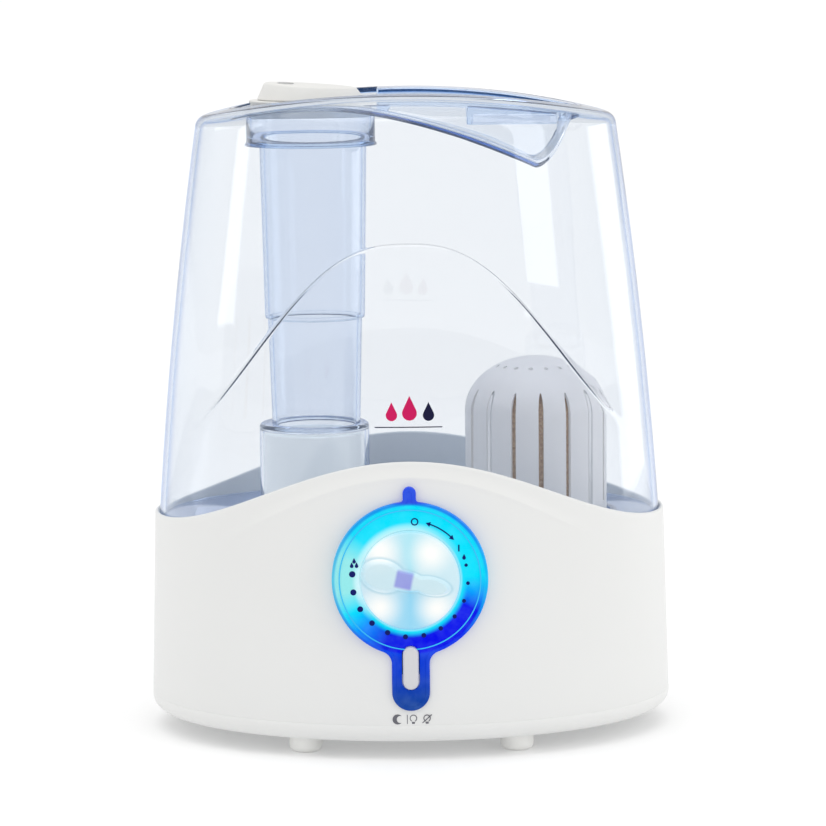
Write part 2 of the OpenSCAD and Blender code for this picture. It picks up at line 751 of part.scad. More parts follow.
module valve_spring() {
    turns = 4;
    per_turn = 16;
    sides = 8;
    wire_r = 0.4;
    coil_r = 6.5;
    z0 = seal_step + 3.5;
    z1 = 103.5;
    count = turns * per_turn;
    points = [for (i = [0 : count], k = [0 : sides - 1])
        let (a = 360 * i / per_turn, b = 360 * k / sides, r = coil_r + wire_r * cos(b))
        [r * cos(a), r * sin(a), z0 + (z1 - z0) * i / count + wire_r * sin(b)]];
    skin = [for (i = [0 : count - 1], k = [0 : sides - 1])
        let (p = i * sides, q = p + sides, l = (k + 1) % sides)
        each [[p + k, p + l, q + l], [p + k, q + l, q + k]]];
    ends = [[for (k = [0 : sides - 1]) sides - 1 - k], [for (k = [0 : sides - 1]) count * sides + k]];
    color("silver") translate([cap_x, 0, 0]) polyhedron(points, concat(skin, ends));
}

base_shell();
bottom_cover();
feet();
cover_screws();
base_deck();
mist_duct();
transducer_disc();
transducer_seal();
transducer_ring();
transducer_screws();
driver_board();
driver_heatsink();
power_board();
transformer_core();
transformer_coil();
board_screws();
fan_housing();
fan_rotor();
air_duct();
intake_filter();
float_body();
float_clip();
control_board();
potentiometer();
dial_shaft();
leds_white();
leds_blue();
light_switch();
dial_bezel();
knob();
night_light_button();
cord_gland();
tank_shell();
tank_top();
tank_floor();
chimney_upper();
chimney_lower();
tank_handle();
nozzle_ring();
nozzle_spout();
fill_cap();
cap_gasket();
cartridge_housing();
cartridge_sleeve();
resin_fill();
valve_plunger();
valve_seal();
valve_spring();
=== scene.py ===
import json
from math import acos, asin, atan2, cos, degrees, exp, hypot, log, pi, radians, sin, sqrt, tan

import bmesh
import bpy
from mathutils import Matrix, Vector


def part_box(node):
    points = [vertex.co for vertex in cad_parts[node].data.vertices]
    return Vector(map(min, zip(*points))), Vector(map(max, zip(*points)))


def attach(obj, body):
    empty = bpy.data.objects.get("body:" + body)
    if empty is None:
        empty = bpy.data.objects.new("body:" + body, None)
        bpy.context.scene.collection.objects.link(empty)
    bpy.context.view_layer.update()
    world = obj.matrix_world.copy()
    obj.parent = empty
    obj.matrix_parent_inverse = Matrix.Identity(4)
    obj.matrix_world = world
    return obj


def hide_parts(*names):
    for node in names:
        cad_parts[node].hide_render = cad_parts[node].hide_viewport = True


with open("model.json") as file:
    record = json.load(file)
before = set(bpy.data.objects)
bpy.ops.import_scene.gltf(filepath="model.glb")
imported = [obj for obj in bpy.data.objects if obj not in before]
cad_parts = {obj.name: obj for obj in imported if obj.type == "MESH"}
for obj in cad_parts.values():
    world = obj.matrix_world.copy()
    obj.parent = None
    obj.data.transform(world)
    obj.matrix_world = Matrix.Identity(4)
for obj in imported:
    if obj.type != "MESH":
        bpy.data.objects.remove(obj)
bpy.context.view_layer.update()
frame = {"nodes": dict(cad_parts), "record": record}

# Lengths below are in millimetres, and make_mesh turns them into metres.
MM = 0.001
NODES = frame["nodes"]


def cosd(angle):
    return cos(radians(angle))


def sind(angle):
    return sin(radians(angle))


def box_mm(node):
    """A CAD node's lowest and highest corners in millimetres."""
    low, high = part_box(node)
    return low / MM, high / MM


shell_low, shell_high = box_mm("base_shell")
cover_low, cover_high = box_mm("bottom_cover")
bezel_low, bezel_high = box_mm("dial_bezel")
knob_low, knob_high = box_mm("knob")
button_low, button_high = box_mm("night_light_button")
tank_low, tank_high = box_mm("tank_shell")
floor_low, floor_high = box_mm("tank_floor")
lower_low, lower_high = box_mm("chimney_lower")
upper_low, upper_high = box_mm("chimney_upper")
duct_low, duct_high = box_mm("mist_duct")
cart_low, cart_high = box_mm("cartridge_housing")
spout_high = box_mm("nozzle_spout")[1]
nozzle_low, nozzle_high = box_mm("nozzle_ring")
foot_high = box_mm("feet")[1]

# Base housing, as in the CAD model
OVAL = 0.72
BASE_A = shell_high.x
SEAM = shell_low.z
RIM_LOW = 108.4
RIM_FRONT = shell_high.z - RIM_LOW
RIM_BACK = 25
RIM_POWER = 3.7
TAPER = 0.0293
WALL = 2.0
# Tank, as in the CAD model
TANK_A = tank_high.x
TANK_WALL = 2.4
CORNER = 7.0
CROWN_TOP = 316.4
CROWN_R = 370.0
CROWN_CROSS_R = 700.0
SCOOP_A, SCOOP_B = 86.0, 50.0
SHEET = 2.2
# How far the tank's front steps in over its arch
STEP_IN = 1.4
# How far the camera leans to its side, in degrees
CAMERA_LEAN = -0.55
# Axes
DIAL_Z = (knob_low.z + knob_high.z) / 2
MIST_X = (nozzle_low.x + nozzle_high.x) / 2
LOWER_X = (lower_low.x + lower_high.x) / 2
CAP_X = (cart_low.x + cart_high.x) / 2
BUTTON_Z = (button_low.z + button_high.z) / 2
# Dial: the ring's radius, the knob's depth, and how far the ring laps over the housing
RING_R = 37.0
KNOB_DEEP = knob_high.y - knob_low.y
LAP = 2.2
# The knob's grip: its turn in degrees, and the centre, half length and half width of its parts
GRIP_TURN = 12.5
LEFT_LOBE = (-13.2, 10.6, 7.8)
RIGHT_LOBE = (10.0, 9.6, 4.6)
WAIST = (-2.0, 10.0, 5.0)
# Centre of the blue window along and across the grip, and its half width
WINDOW = (-3.1, 0.6)
WINDOW_HALF = 4.1


# ---------------- camera, lights, floor


def look_at(obj, target):
    direction = Vector(target) - obj.location
    obj.rotation_mode = "QUATERNION"
    obj.rotation_quaternion = direction.to_track_quat("-Z", "Y")


def add_object(name, data):
    obj = bpy.data.objects.new(name, data)
    bpy.context.scene.collection.objects.link(obj)
    return obj


def make_camera():
    data = bpy.data.cameras.new("camera")
    data.sensor_width = 36
    data.lens = 150.7
    data.clip_start, data.clip_end = 0.05, 200
    cam = add_object("camera", data)
    cam.location = (0.0, -1.70, 0.385)
    look_at(cam, (0.0023, 0.0, 0.1548))
    lean = Matrix.Rotation(radians(CAMERA_LEAN), 3, "Z")
    cam.rotation_quaternion = (cam.rotation_quaternion.to_matrix() @ lean).to_quaternion()
    bpy.context.scene.camera = cam


def softbox(name, azimuth, elevation, distance, width, height, strength, diffuse):
    """A rectangular light, in metres; azimuth 0 is on the camera's side and 90 to the right.
    diffuse is the share of it that dull surfaces get."""
    data = bpy.data.lights.new(name, "AREA")
    data.shape = "RECTANGLE"
    data.size, data.size_y = width, height
    data.energy = strength * width * height * pi
    data.diffuse_factor = diffuse
    light = add_object(name, data)
    a, e = radians(azimuth), radians(elevation)
    aim = Vector((0, 0, 0.2))
    light.location = aim + distance * Vector((sin(a) * cos(e), -cos(a) * cos(e), sin(e)))
    look_at(light, aim)


def make_lights():
    world = bpy.data.worlds.new("world")
    world.use_nodes = True
    background = world.node_tree.nodes["Background"]
    background.inputs["Color"].default_value = (1.0, 1.0, 1.0, 1)
    background.inputs["Strength"].default_value = 0.85
    scene = bpy.context.scene
    scene.world = world
    soft_sun = bpy.data.lights.new("top_light", "SUN")
    soft_sun.energy = 0.85
    soft_sun.angle = radians(60)
    lamp = add_object("top_light", soft_sun)
    lamp.location = (-0.15, -0.25, 2.0)
    look_at(lamp, (0, 0, 0.1))
    # strips that show as bright streaks on the glossy parts
    softbox("left_strip", -78, 20, 1.3, 0.22, 0.9, 1.8, 0.05)
    softbox("right_strip", 53, 22, 1.3, 0.40, 0.9, 1.7, 0.03)
    softbox("right_side", 112, 2, 1.5, 0.8, 0.5, 1.4, 0.02)
    scene.view_settings.view_transform = "Standard"
    # enough bounces to see through every wall of the tank and its tubes
    scene.cycles.max_bounces = 24
    scene.cycles.transmission_bounces = 24
    scene.cycles.transparent_max_bounces = 24


def make_floor():
    size = 60.0
    mesh = bpy.data.meshes.new("studio_floor")
    mesh.from_pydata([(-size, -size, 0), (size, -size, 0), (size, size, 0), (-size, size, 0)],
                     [], [(0, 1, 2, 3)])
    floor = add_object("studio_floor", mesh)
    mat, tree, shader = new_material("studio_paper")
    feed(tree, shader, {"Base Color": (0.80, 0.80, 0.80), "Roughness": 0.7, "Specular IOR Level": 0.2,
                        "Emission Color": (1, 1, 1), "Emission Strength": 0.15})
    mesh.materials.append(mat)


# ---------------- shader tools


def new_material(name):
    mat = bpy.data.materials.new(name)
    mat.use_nodes = True
    tree = mat.node_tree
    return mat, tree, tree.nodes["Principled BSDF"]


def feed(tree, node, inputs):
    """Gives each named input another node's output, or sets a number, vector or colour on it."""
    for key, value in inputs.items():
        socket = node.inputs[key]
        if hasattr(value, "is_output"):
            tree.links.new(value, socket)
        else:
            socket.default_value = (*value, 1) if socket.type == "RGBA" else value


def add_node(tree, kind, inputs, output=0, **settings):
    """Adds a node, feeds its inputs and returns one of its outputs."""
    node = tree.nodes.new("ShaderNode" + kind)
    for key, value in settings.items():
        setattr(node, key, value)
    feed(tree, node, inputs)
    return node.outputs[output]


def tree_of(*values):
    """The node tree of the first socket among some values."""
    return next(value.id_data for value in values if hasattr(value, "is_output"))


def calc(operation, *values):
    return add_node(tree_of(*values), "Math", dict(enumerate(values)), operation=operation)


def calc_vector(operation, *values, output=0):
    return add_node(tree_of(*values), "VectorMath", dict(enumerate(values)), output, operation=operation)


def object_place(tree):
    """A point's place in object coordinates, which are the frame's own metres."""
    return add_node(tree, "TexCoord", {}, "Object")


def noise(tree, scale, detail=2.0, roughness=0.5):
    return add_node(tree, "TexNoise", {"Vector": object_place(tree), "Scale": scale, "Detail": detail,
                                       "Roughness": roughness})


def remap(value, low, high, out_low, out_high, smooth=False):
    return add_node(tree_of(value), "MapRange", {0: value, 1: low, 2: high, 3: out_low, 4: out_high},
                    interpolation_type="SMOOTHSTEP" if smooth else "LINEAR")


def mix_colour(factor, first, second):
    """A colour between first and second, each a socket or a colour."""
    tree = tree_of(factor, first, second)
    return add_node(tree, "Mix", {0: factor, 6: first, 7: second}, 2, data_type="RGBA")


def bump(height, strength, distance, invert=False):
    return add_node(tree_of(height), "Bump", {"Height": height, "Strength": strength, "Distance": distance},
                    "Normal", invert=invert)


def split_xyz(place):
    return [add_node(tree_of(place), "SeparateXYZ", {0: place}, axis) for axis in range(3)]


def ramp(value, stops):
    """A colour that changes along value, through stops of (place, colour)."""
    tree = tree_of(value)
    node = tree.nodes.new("ShaderNodeValToRGB")
    elements = node.color_ramp.elements
    while len(elements) < len(stops):
        elements.new(0.5)
    for element, (place, colour) in zip(elements, stops):
        element.position = place
        element.color = (*colour, 1)
    tree.links.new(value, node.inputs[0])
    return node.outputs[0]


def surface_detail(tree, shader, colour, roughness, variation, grain, depth):
    """Slightly uneven colour and gloss, and a fine moulded grain."""
    cloud = noise(tree, 14, 3)
    fine = noise(tree, grain, 4, 0.6)
    dark = tuple(c * (1 - variation) for c in colour)
    light = tuple(min(1, c * (1 + variation)) for c in colour)
    feed(tree, shader, {
        "Base Color": mix_colour(remap(cloud, 0.3, 0.7, 0, 1), dark, light),
        "Roughness": remap(fine, 0.3, 0.7, roughness * 0.88, roughness * 1.12),
        "Normal": bump(fine, depth, 0.0004)})


# ---------------- materials


def plastic(name, colour, roughness=0.3, variation=0.02, grain=900, depth=0.05, coat=0.0, metallic=0.0,
            specular=0.5, painted_glow=0.0):
    """A moulded, rubber or metal surface. Its emission is a painted glow that lifts its shade."""
    mat, tree, shader = new_material(name)
    surface_detail(tree, shader, colour, roughness, variation, grain, depth)
    feed(tree, shader, {"Coat Weight": coat, "Coat Roughness": 0.06, "Metallic": metallic,
                        "Specular IOR Level": specular, "Emission Color": (0.94, 0.97, 1.0),
                        "Emission Strength": painted_glow})
    return mat


def plastic_with_painted_glow(name, colour, painted_glow):
    """Milky plastic with a painted glow that lifts its shade."""
    mat, tree, shader = new_material(name)
    surface_detail(tree, shader, colour, 0.45, 0.015, 500, 0.02)
    feed(tree, shader, {"Emission Color": (0.85, 0.93, 1.0), "Emission Strength": painted_glow})
    return mat


# What the clear plastic takes from light that goes through it, and what it turns to at grazing angles
CLEAR_BLUE = (0.02, 0.42, 0.86)
EDGE_BLUE = (0.01, 0.16, 0.66)


def clear_plastic(name, density, tint, glow, edge=EDGE_BLUE):
    """Clear blue plastic: it colours with the way light goes through it and turns blue at grazing angles, and
    a faint painted blue glow lifts its dark edges.
    """
    mat, tree, shader = new_material(name)
    facing = add_node(tree, "LayerWeight", {"Blend": 0.5}, "Facing")
    grazing = remap(facing, 0.68, 0.92, 0.0, 1.0, True)
    fine = noise(tree, 220, 3)
    waves = noise(tree, 22, 1)
    feed(tree, shader, {
        "Base Color": mix_colour(grazing, tint, edge), "Transmission Weight": 1.0, "IOR": 1.5,
        # the emission is a painted blue glow that lightens the dark edges
        "Emission Color": (0.08, 0.30, 0.75), "Emission Strength": glow,
        "Roughness": remap(fine, 0.3, 0.7, 0.0, 0.03), "Normal": bump(waves, 0.08, 0.002)})
    # lamps reach what is behind the clear wall
    in_shadow = add_node(tree, "LightPath", {}, "Is Shadow Ray")
    through = add_node(tree, "BsdfTransparent", {"Color": (0.985, 0.99, 0.995)})
    feed(tree, tree.nodes["Material Output"], {
        "Surface": add_node(tree, "MixShader", {0: in_shadow, 1: shader.outputs[0], 2: through}),
        "Volume": add_node(tree, "VolumeAbsorption", {"Color": CLEAR_BLUE, "Density": density})})
    return mat


def beads(name, dark, light, scale, depth):
    """Small round grains packed together."""
    mat, tree, shader = new_material(name)
    gap = add_node(tree, "TexVoronoi", {"Vector": object_place(tree), "Scale": scale}, "Distance")
    feed(tree, shader, {
        "Base Color": mix_colour(remap(gap, 0, 0.7, 0, 1), light, dark),
        "Normal": bump(gap, depth, 0.001, True), "Roughness": remap(gap, 0, 0.7, 0.45, 0.75)})
    return mat


def dial_position(tree):
    """Sockets for the clock angle round the dial, 0 to 1 from the top clockwise, the radius from the dial's
    axis in millimetres, and the height in metres."""
    x, _, height = split_xyz(object_place(tree))
    up = calc("SUBTRACT", height, DIAL_Z * MM)
    turn = calc("MULTIPLY", calc("ARCTAN2", x, up), 1 / (2 * pi))
    flat = add_node(tree, "CombineXYZ", {0: x, 1: up})
    radius = calc("MULTIPLY", calc_vector("LENGTH", flat, output="Value"), 1 / MM)
    return calc("WRAP", turn, 1.0, 0.0), radius, height


CYAN = (0.0, 0.72, 0.93)
# pale cyan that paints a softbox's reflection on the ring's left side
PAINTED_REFLECTION = (0.30, 0.80, 0.80)
DEEP = (0.0, 0.002, 0.80)
BLUE = (0.0, 0.010, 0.74)
TAIL = (0.0, 0.04, 0.64)
TAIL_END = (0.004, 0.05, 0.32)
TAB = (0.02, 0.07, 0.72)
BLACK = (0.0, 0.0, 0.0)
# The lit parts' own colour is their light's colour, darkened by this share
DARKEN = 0.40


def lit_ring_material():
    """The light guide: bright cyan over the top, deep blue below, dark towards the tail's end, with a painted
    reflection of a softbox in pale cyan round its left side.
    """
    mat, tree, shader = new_material("light_guide")
    clock, radius, height = dial_position(tree)
    # the pale cyan round the left side, from 0.72 to 0.82 in both ramps, is a painted reflection of a softbox
    outer = ramp(clock, [
        (0.0, CYAN), (0.24, CYAN), (0.285, (0.0, 0.30, 0.92)), (0.32, DEEP), (0.46, DEEP), (0.56, BLUE),
        (0.62, (0.0, 0.25, 0.95)), (0.67, CYAN), (0.72, PAINTED_REFLECTION), (0.80, PAINTED_REFLECTION), (0.86, CYAN), (1.0, CYAN)])
    inner = ramp(clock, [
        (0.0, (0.35, 0.86, 0.94)), (0.2, CYAN), (0.34, CYAN), (0.5, (0.0, 0.75, 0.95)), (0.62, CYAN),
        (0.72, (0.65, 0.92, 0.96)), (0.82, (0.5, 0.9, 0.95)), (1.0, (0.35, 0.86, 0.94))])
    edge = ramp(clock, [
        (0.0, (0.0, 0.15, 0.78)), (0.14, (0.0, 0.16, 0.80)), (0.25, (0.0, 0.50, 0.86)),
        (0.38, (0.0, 0.03, 0.78)), (0.60, (0.0, 0.08, 0.75)), (0.75, (0.06, 0.50, 0.74)),
        (0.88, (0.0, 0.28, 0.76)), (1.0, (0.0, 0.15, 0.78))])
    face = mix_colour(remap(radius, 24.8, 28.0, 0, 1, True), inner, outer)
    face = mix_colour(remap(radius, 23.9, 25.2, 0.40, 0, True), face, (0.80, 0.95, 0.98))
    rim = mix_colour(remap(radius, 34.9, 36.3, 0, 0.9, True), face, edge)
    tail = mix_colour(remap(height, 0.026, 0.050, 1, 0, True), TAIL, TAIL_END)
    whole = mix_colour(remap(height, 0.0535, 0.0495, 0, 1, True), rim, tail)
    whole = mix_colour(remap(height, 0.1235, 0.1250, 0, 1, True), whole, TAB)
    streaks = noise(tree, 160, 2)
    whole = mix_colour(remap(streaks, 0.35, 0.75, 0.0, 0.04), whole, (0.5, 0.85, 1.0))
    # a white film on the guide's back keeps the light in
    facing = split_xyz(add_node(tree, "NewGeometry", {}, "Normal"))[1]
    back = remap(facing, 0.1, 0.4, 0, 1, True)
    feed(tree, shader, {
        "Base Color": mix_colour(back, mix_colour(DARKEN, whole, BLACK), (0.78, 0.78, 0.78)),
        "Emission Color": mix_colour(back, whole, BLACK), "Emission Strength": 0.42,
        "Specular IOR Level": 0.05, "Roughness": remap(streaks, 0.3, 0.7, 0.08, 0.16)})
    return mat


def near(tree, place, reach):
    """1 close to a place in the frame, falling to 0 at reach, both in millimetres."""
    gap = calc_vector("DISTANCE", object_place(tree), tuple(c * MM for c in place), output="Value")
    return remap(gap, 0, reach * MM, 1, 0, True)


def grip_axes(tree):
    """Socket with a point's place along and across the knob's grip, from the dial's axis."""
    place = calc_vector("ADD", object_place(tree), (0, 0, -DIAL_Z * MM))
    return add_node(tree, "VectorRotate", {"Vector": place, "Angle": -radians(GRIP_TURN)},
                    rotation_type="Y_AXIS")


def grip_shape(tree):
    """Distance outwards over the knob's raised grip: 1 on its outline and less inside it."""
    place = grip_axes(tree)
    lobes = []
    for centre, half, width in (LEFT_LOBE, RIGHT_LOBE, WAIST):
        offset = calc_vector("ADD", place, (-centre * MM, 0, 0))
        scaled = calc_vector("MULTIPLY", offset, (1 / (half * MM), 0, 1 / (width * MM)))
        lobes.append(calc_vector("LENGTH", scaled, output="Value"))
    left, right, waist = lobes
    return calc("SMOOTH_MIN", calc("SMOOTH_MIN", left, right, 0.12), waist, 0.12)


def window_shape(tree):
    """1 inside the small square window at the middle of the grip, with soft sides."""
    along, _, across = split_xyz(grip_axes(tree))
    sides = []
    for place, centre in zip((along, across), WINDOW):
        gap = calc("ABSOLUTE", calc("SUBTRACT", place, centre * MM))
        sides.append(remap(gap, (WINDOW_HALF - 1) * MM, (WINDOW_HALF + 0.8) * MM, 0.9, 0, True))
    return calc("MULTIPLY", *sides)


def knob_material():
    """Milky plastic lit from behind by four white lamps, with a blue window at the centre."""
    mat, tree, shader = new_material("lit_knob")
    clock = dial_position(tree)[0]
    colour = ramp(clock, [
        (0.0, (0.42, 0.78, 0.88)), (0.12, (0.62, 0.82, 0.88)), (0.30, (0.60, 0.80, 0.88)),
        (0.50, (0.28, 0.66, 0.88)), (0.70, (0.58, 0.78, 0.88)), (0.9, (0.60, 0.80, 0.88)),
        (1.0, (0.42, 0.78, 0.88))])
    lamp_y, lamp_reach = knob_low.y + 4, 13.0
    for x, z in ((-14, 14.5), (10, 13.5), (-14.5, -12.5), (12.5, -13)):
        glow = near(tree, (x, lamp_y, DIAL_Z + z), lamp_reach)
        colour = mix_colour(glow, colour, (1.0, 0.985, 0.95))
    # the grip is paler inside, with a darker band of painted shade round its foot
    outline = grip_shape(tree)
    inside = remap(outline, 0.66, 0.97, 0.75, 0.0, True)
    colour = mix_colour(inside, colour, (0.58, 0.76, 0.82))
    near_edge = remap(outline, 0.97, 1.04, 0.0, 1.0, True)
    past_edge = remap(outline, 1.04, 1.22, 1.0, 0.0, True)
    painted_shade_band = calc("MULTIPLY", calc("MULTIPLY", near_edge, past_edge), 0.55)
    colour = mix_colour(painted_shade_band, colour, (0.36, 0.62, 0.74))
    colour = mix_colour(window_shape(tree), colour, (0.22, 0.20, 0.70))
    cloud = noise(tree, 90, 3)
    colour = mix_colour(remap(cloud, 0.3, 0.7, 0, 0.08), colour, (0.6, 0.85, 0.95))
    feed(tree, shader, {
        "Base Color": mix_colour(DARKEN, colour, BLACK), "Emission Color": colour,
        "Emission Strength": 0.38, "Specular IOR Level": 0.35,
        "Roughness": remap(cloud, 0.3, 0.7, 0.16, 0.24)})
    return mat


def make_materials():
    return {
        # the housing's glow is painted light that lifts the shade on its inner walls
        "housing": plastic("white_housing", (0.655, 0.655, 0.642), 0.42, 0.008, 700, 0.012, specular=0.22,
                           painted_glow=0.10),
        "foot_rubber": plastic("pale_rubber", (0.84, 0.84, 0.82), 0.6, 0.03, 500, 0.15),
        "steel": plastic("zinc_steel", (0.62, 0.62, 0.63), 0.35, 0.05, 800, 0.1, metallic=1.0),
        "seal_rubber": plastic("dark_rubber", (0.05, 0.05, 0.055), 0.65, 0.06, 600, 0.2),
        "grey_plastic": plastic("grey_plastic", (0.60, 0.61, 0.62), 0.4, 0.02, 700, 0.08),
        "circuit_board": plastic("circuit_board", (0.02, 0.16, 0.07), 0.4, 0.25, 300, 0.2),
        "heatsink_metal": plastic("cast_aluminium", (0.66, 0.67, 0.69), 0.4, 0.04, 500, 0.1, metallic=1.0),
        "core_metal": plastic("stacked_steel", (0.12, 0.12, 0.125), 0.5, 0.1, 900, 0.3, metallic=0.8),
        "coil_tape": plastic("winding_tape", (0.50, 0.28, 0.07), 0.45, 0.1, 400, 0.3),
        "black_plastic": plastic("black_plastic", (0.02, 0.02, 0.022), 0.45, 0.1, 700, 0.1),
        "filter_foam": beads("open_foam", (0.02, 0.02, 0.022), (0.09, 0.09, 0.1), 700, 0.9),
        "led_lens": plastic("lamp_lens", (0.85, 0.88, 0.92), 0.15, 0.02, 300, 0.02),
        "bezel_blue": lit_ring_material(),
        "knob_white": knob_material(),
        "button_white": plastic("button_white", (0.60, 0.60, 0.62), 0.22, 0.01, 500, 0.008, coat=0.4),
        "tank_clear": clear_plastic("tank_clear", 32.0, (0.984, 0.965, 0.940), 0.016),
        "chimney_clear": clear_plastic("chimney_clear", 62.0, (0.950, 0.938, 0.940), 0.014),
        "grip_clear": clear_plastic("grip_clear", 15.0, (0.94, 0.94, 0.95), 0.05, (0.20, 0.45, 0.85)),
        # duct, cartridge and deck get a painted glow that lifts their shade inside the tank
        "duct_frosted": plastic_with_painted_glow("frosted_duct", (0.52, 0.52, 0.51), 0.42),
        "nozzle_white": plastic("nozzle_white", (0.74, 0.735, 0.71), 0.38, 0.015, 700, 0.04),
        "cartridge_grey": plastic_with_painted_glow("cartridge_grey", (0.60, 0.575, 0.58), 0.15),
        "deck_white": plastic_with_painted_glow("deck_white", (0.68, 0.69, 0.70), 0.12),
        "liner_tan": beads("tan_mesh", (0.36, 0.20, 0.09), (0.62, 0.42, 0.24), 900, 0.5),
        "resin_brown": beads("resin_beads", (0.02, 0.009, 0.004), (0.12, 0.055, 0.025), 800, 1.0),
    }


# ---------------- mesh tools


def make_mesh(name, points, faces, material, body=None, slot=None, replaces=(), sharp=32):
    """A closed smooth piece with sharp edges where the surface turns by more than sharp degrees."""
    mesh = bpy.data.meshes.new(name)
    mesh.from_pydata([tuple(c * MM for c in p) for p in points], [], faces)
    obj = add_object(name, mesh)
    tidy(obj, sharp)
    if material:
        mesh.materials.append(material)
    if body:
        place(obj, body, slot, replaces)
    return obj


def tidy(obj, sharp=32):
    """Merges doubled points, turns the faces outwards and sets the sharp edges."""
    work = bmesh.new()
    work.from_mesh(obj.data)
    bmesh.ops.remove_doubles(work, verts=work.verts, dist=2e-6)
    bmesh.ops.dissolve_degenerate(work, edges=work.edges, dist=1e-6)
    bmesh.ops.recalc_face_normals(work, faces=work.faces)
    for face in work.faces:
        face.smooth = True
    work.to_mesh(obj.data)
    work.free()
    obj.data.set_sharp_from_angle(angle=radians(sharp))


def circle(cx, cy, r, sides):
    return [(cx + r * cos(t), cy + r * sin(t)) for t in turned(sides)]


def gathered(solids):
    """Several solids' points and faces as one solid's."""
    points, faces = [], []
    for some, more in solids:
        faces += [tuple(i + len(points) for i in face) for face in more]
        points += some
    return points, faces


def settle(obj, sharp, body, slot, replaces):
    """Cleans a finished piece and puts it on its body."""
    tidy(obj, sharp)
    place(obj, body, slot, replaces)


def place(obj, body, slot, replaces=()):
    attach(obj, body)
    if replaces:
        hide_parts(*replaces)


def ring_faces(rings, closed):
    """Quads between rings of equal length; closed joins the last ring to the first."""
    n = len(rings[0])
    pairs = [(k, k + 1) for k in range(len(rings) - 1)]
    if closed:
        pairs.append((len(rings) - 1, 0))
    faces = []
    for a, b in pairs:
        for i in range(n):
            j = (i + 1) % n
            faces.append((a * n + i, a * n + j, b * n + j, b * n + i))
    return faces


def loft(rings, closed=False):
    """Points and faces of a solid through rings; open stacks get a cap at each end."""
    points = [p for r in rings for p in r]
    faces = ring_faces(rings, closed)
    if not closed:
        n = len(rings[0])
        faces.append(tuple(reversed(range(n))))
        faces.append(tuple(range(len(points) - n, len(points))))
    return points, faces


def lathe(profile, x=0.0, y=0.0, sides=144):
    """A profile of (radius, height) points turned about a vertical axis. A profile that starts and
    ends on the axis is a solid, and any other is a closed ring."""
    rings = [[(px, py, z) for px, py in circle(x, y, r, sides)] for r, z in profile]
    solid = profile[0][0] == 0 and profile[-1][0] == 0
    return [p for r in rings for p in r], ring_faces(rings, not solid)


def arc(cx, cz, r, start, end, steps):
    """Points of an arc in the profile plane, angles in degrees."""
    return [(cx + r * cosd(start + (end - start) * k / steps),
             cz + r * sind(start + (end - start) * k / steps)) for k in range(steps + 1)]


def prism_y(outline, y0, y1, mat=None, name="cutter"):
    """A block with an outline of (x, z) points, from depth y0 to y1."""
    return make_mesh(name, *loft([[(x, y, z) for x, z in outline] for y in (y0, y1)]), mat)


def prism_z(outline, z0, z1, mat=None, name="cutter"):
    """An upright block with an outline of (x, y) points."""
    return make_mesh(name, *loft([[(x, y, z) for x, y in outline] for z in (z0, z1)]), mat)


def turned_piece(profile, x=0.0, mat=None, name="cutter", **more):
    """A profile of (radius, height) points turned about an upright axis at x."""
    return make_mesh(name, *lathe(profile, x, **more), mat)


def plug(r, low, high):
    """Profile of a plain round block, for turned_piece."""
    return [(0, low), (r, low), (r, high), (0, high)]


def stadium(cx, cy, width, length, steps=16):
    """Outline with round ends, longer along its second axis."""
    half = (length - width) / 2
    return arc(cx, cy + half, width / 2, 0, 180, steps) + arc(cx, cy - half, width / 2, 180, 360, steps)


def combine(target, others, operation):
    """Cuts the others out of target or joins them to it, and deletes them."""
    for other in others:
        step = target.modifiers.new("step", "BOOLEAN")
        step.object, step.operation, step.solver = other, operation, "EXACT"
    state = bpy.context.evaluated_depsgraph_get()
    result = bpy.data.meshes.new_from_object(target.evaluated_get(state))
    target.modifiers.clear()
    target.data = result
    for other in others:
        bpy.data.objects.remove(other)


def cut(target, others):
    combine(target, others, "DIFFERENCE")


def soften(obj, width, segments, angle):
    """Bevels the edges where the surface turns by more than angle degrees."""
    edge = obj.modifiers.new("edges", "BEVEL")
    edge.width, edge.segments = width * MM, segments
    edge.limit_method, edge.angle_limit = "ANGLE", radians(angle)


def smooth_step(t):
    t = max(0.0, min(1.0, t))
    return t * t * (3 - 2 * t)


def lerp(a, b, t):
    return a + (b - a) * t


def turned(count):
    """Angles at equal steps round a full turn."""
    return [2 * pi * i / count for i in range(count)]


# ---------------- base


def base_half(z):
    return BASE_A - TAPER * (z - SEAM)


def rim_z(angle):
    """Height of the housing's rim: low at the sides and high at the front and back."""
    s = sin(angle)
    return RIM_LOW + (RIM_FRONT if s < 0 else RIM_BACK) * abs(s) ** RIM_POWER


def oval_point(angle, a, b, z, out=0.0):
    """Point on an oval, moved out along the oval's normal."""
    nx, ny = cos(angle) / a, sin(angle) / b
    size = hypot(nx, ny)
    return (a * cos(angle) + out * nx / size, b * sin(angle) + out * ny / size, z)


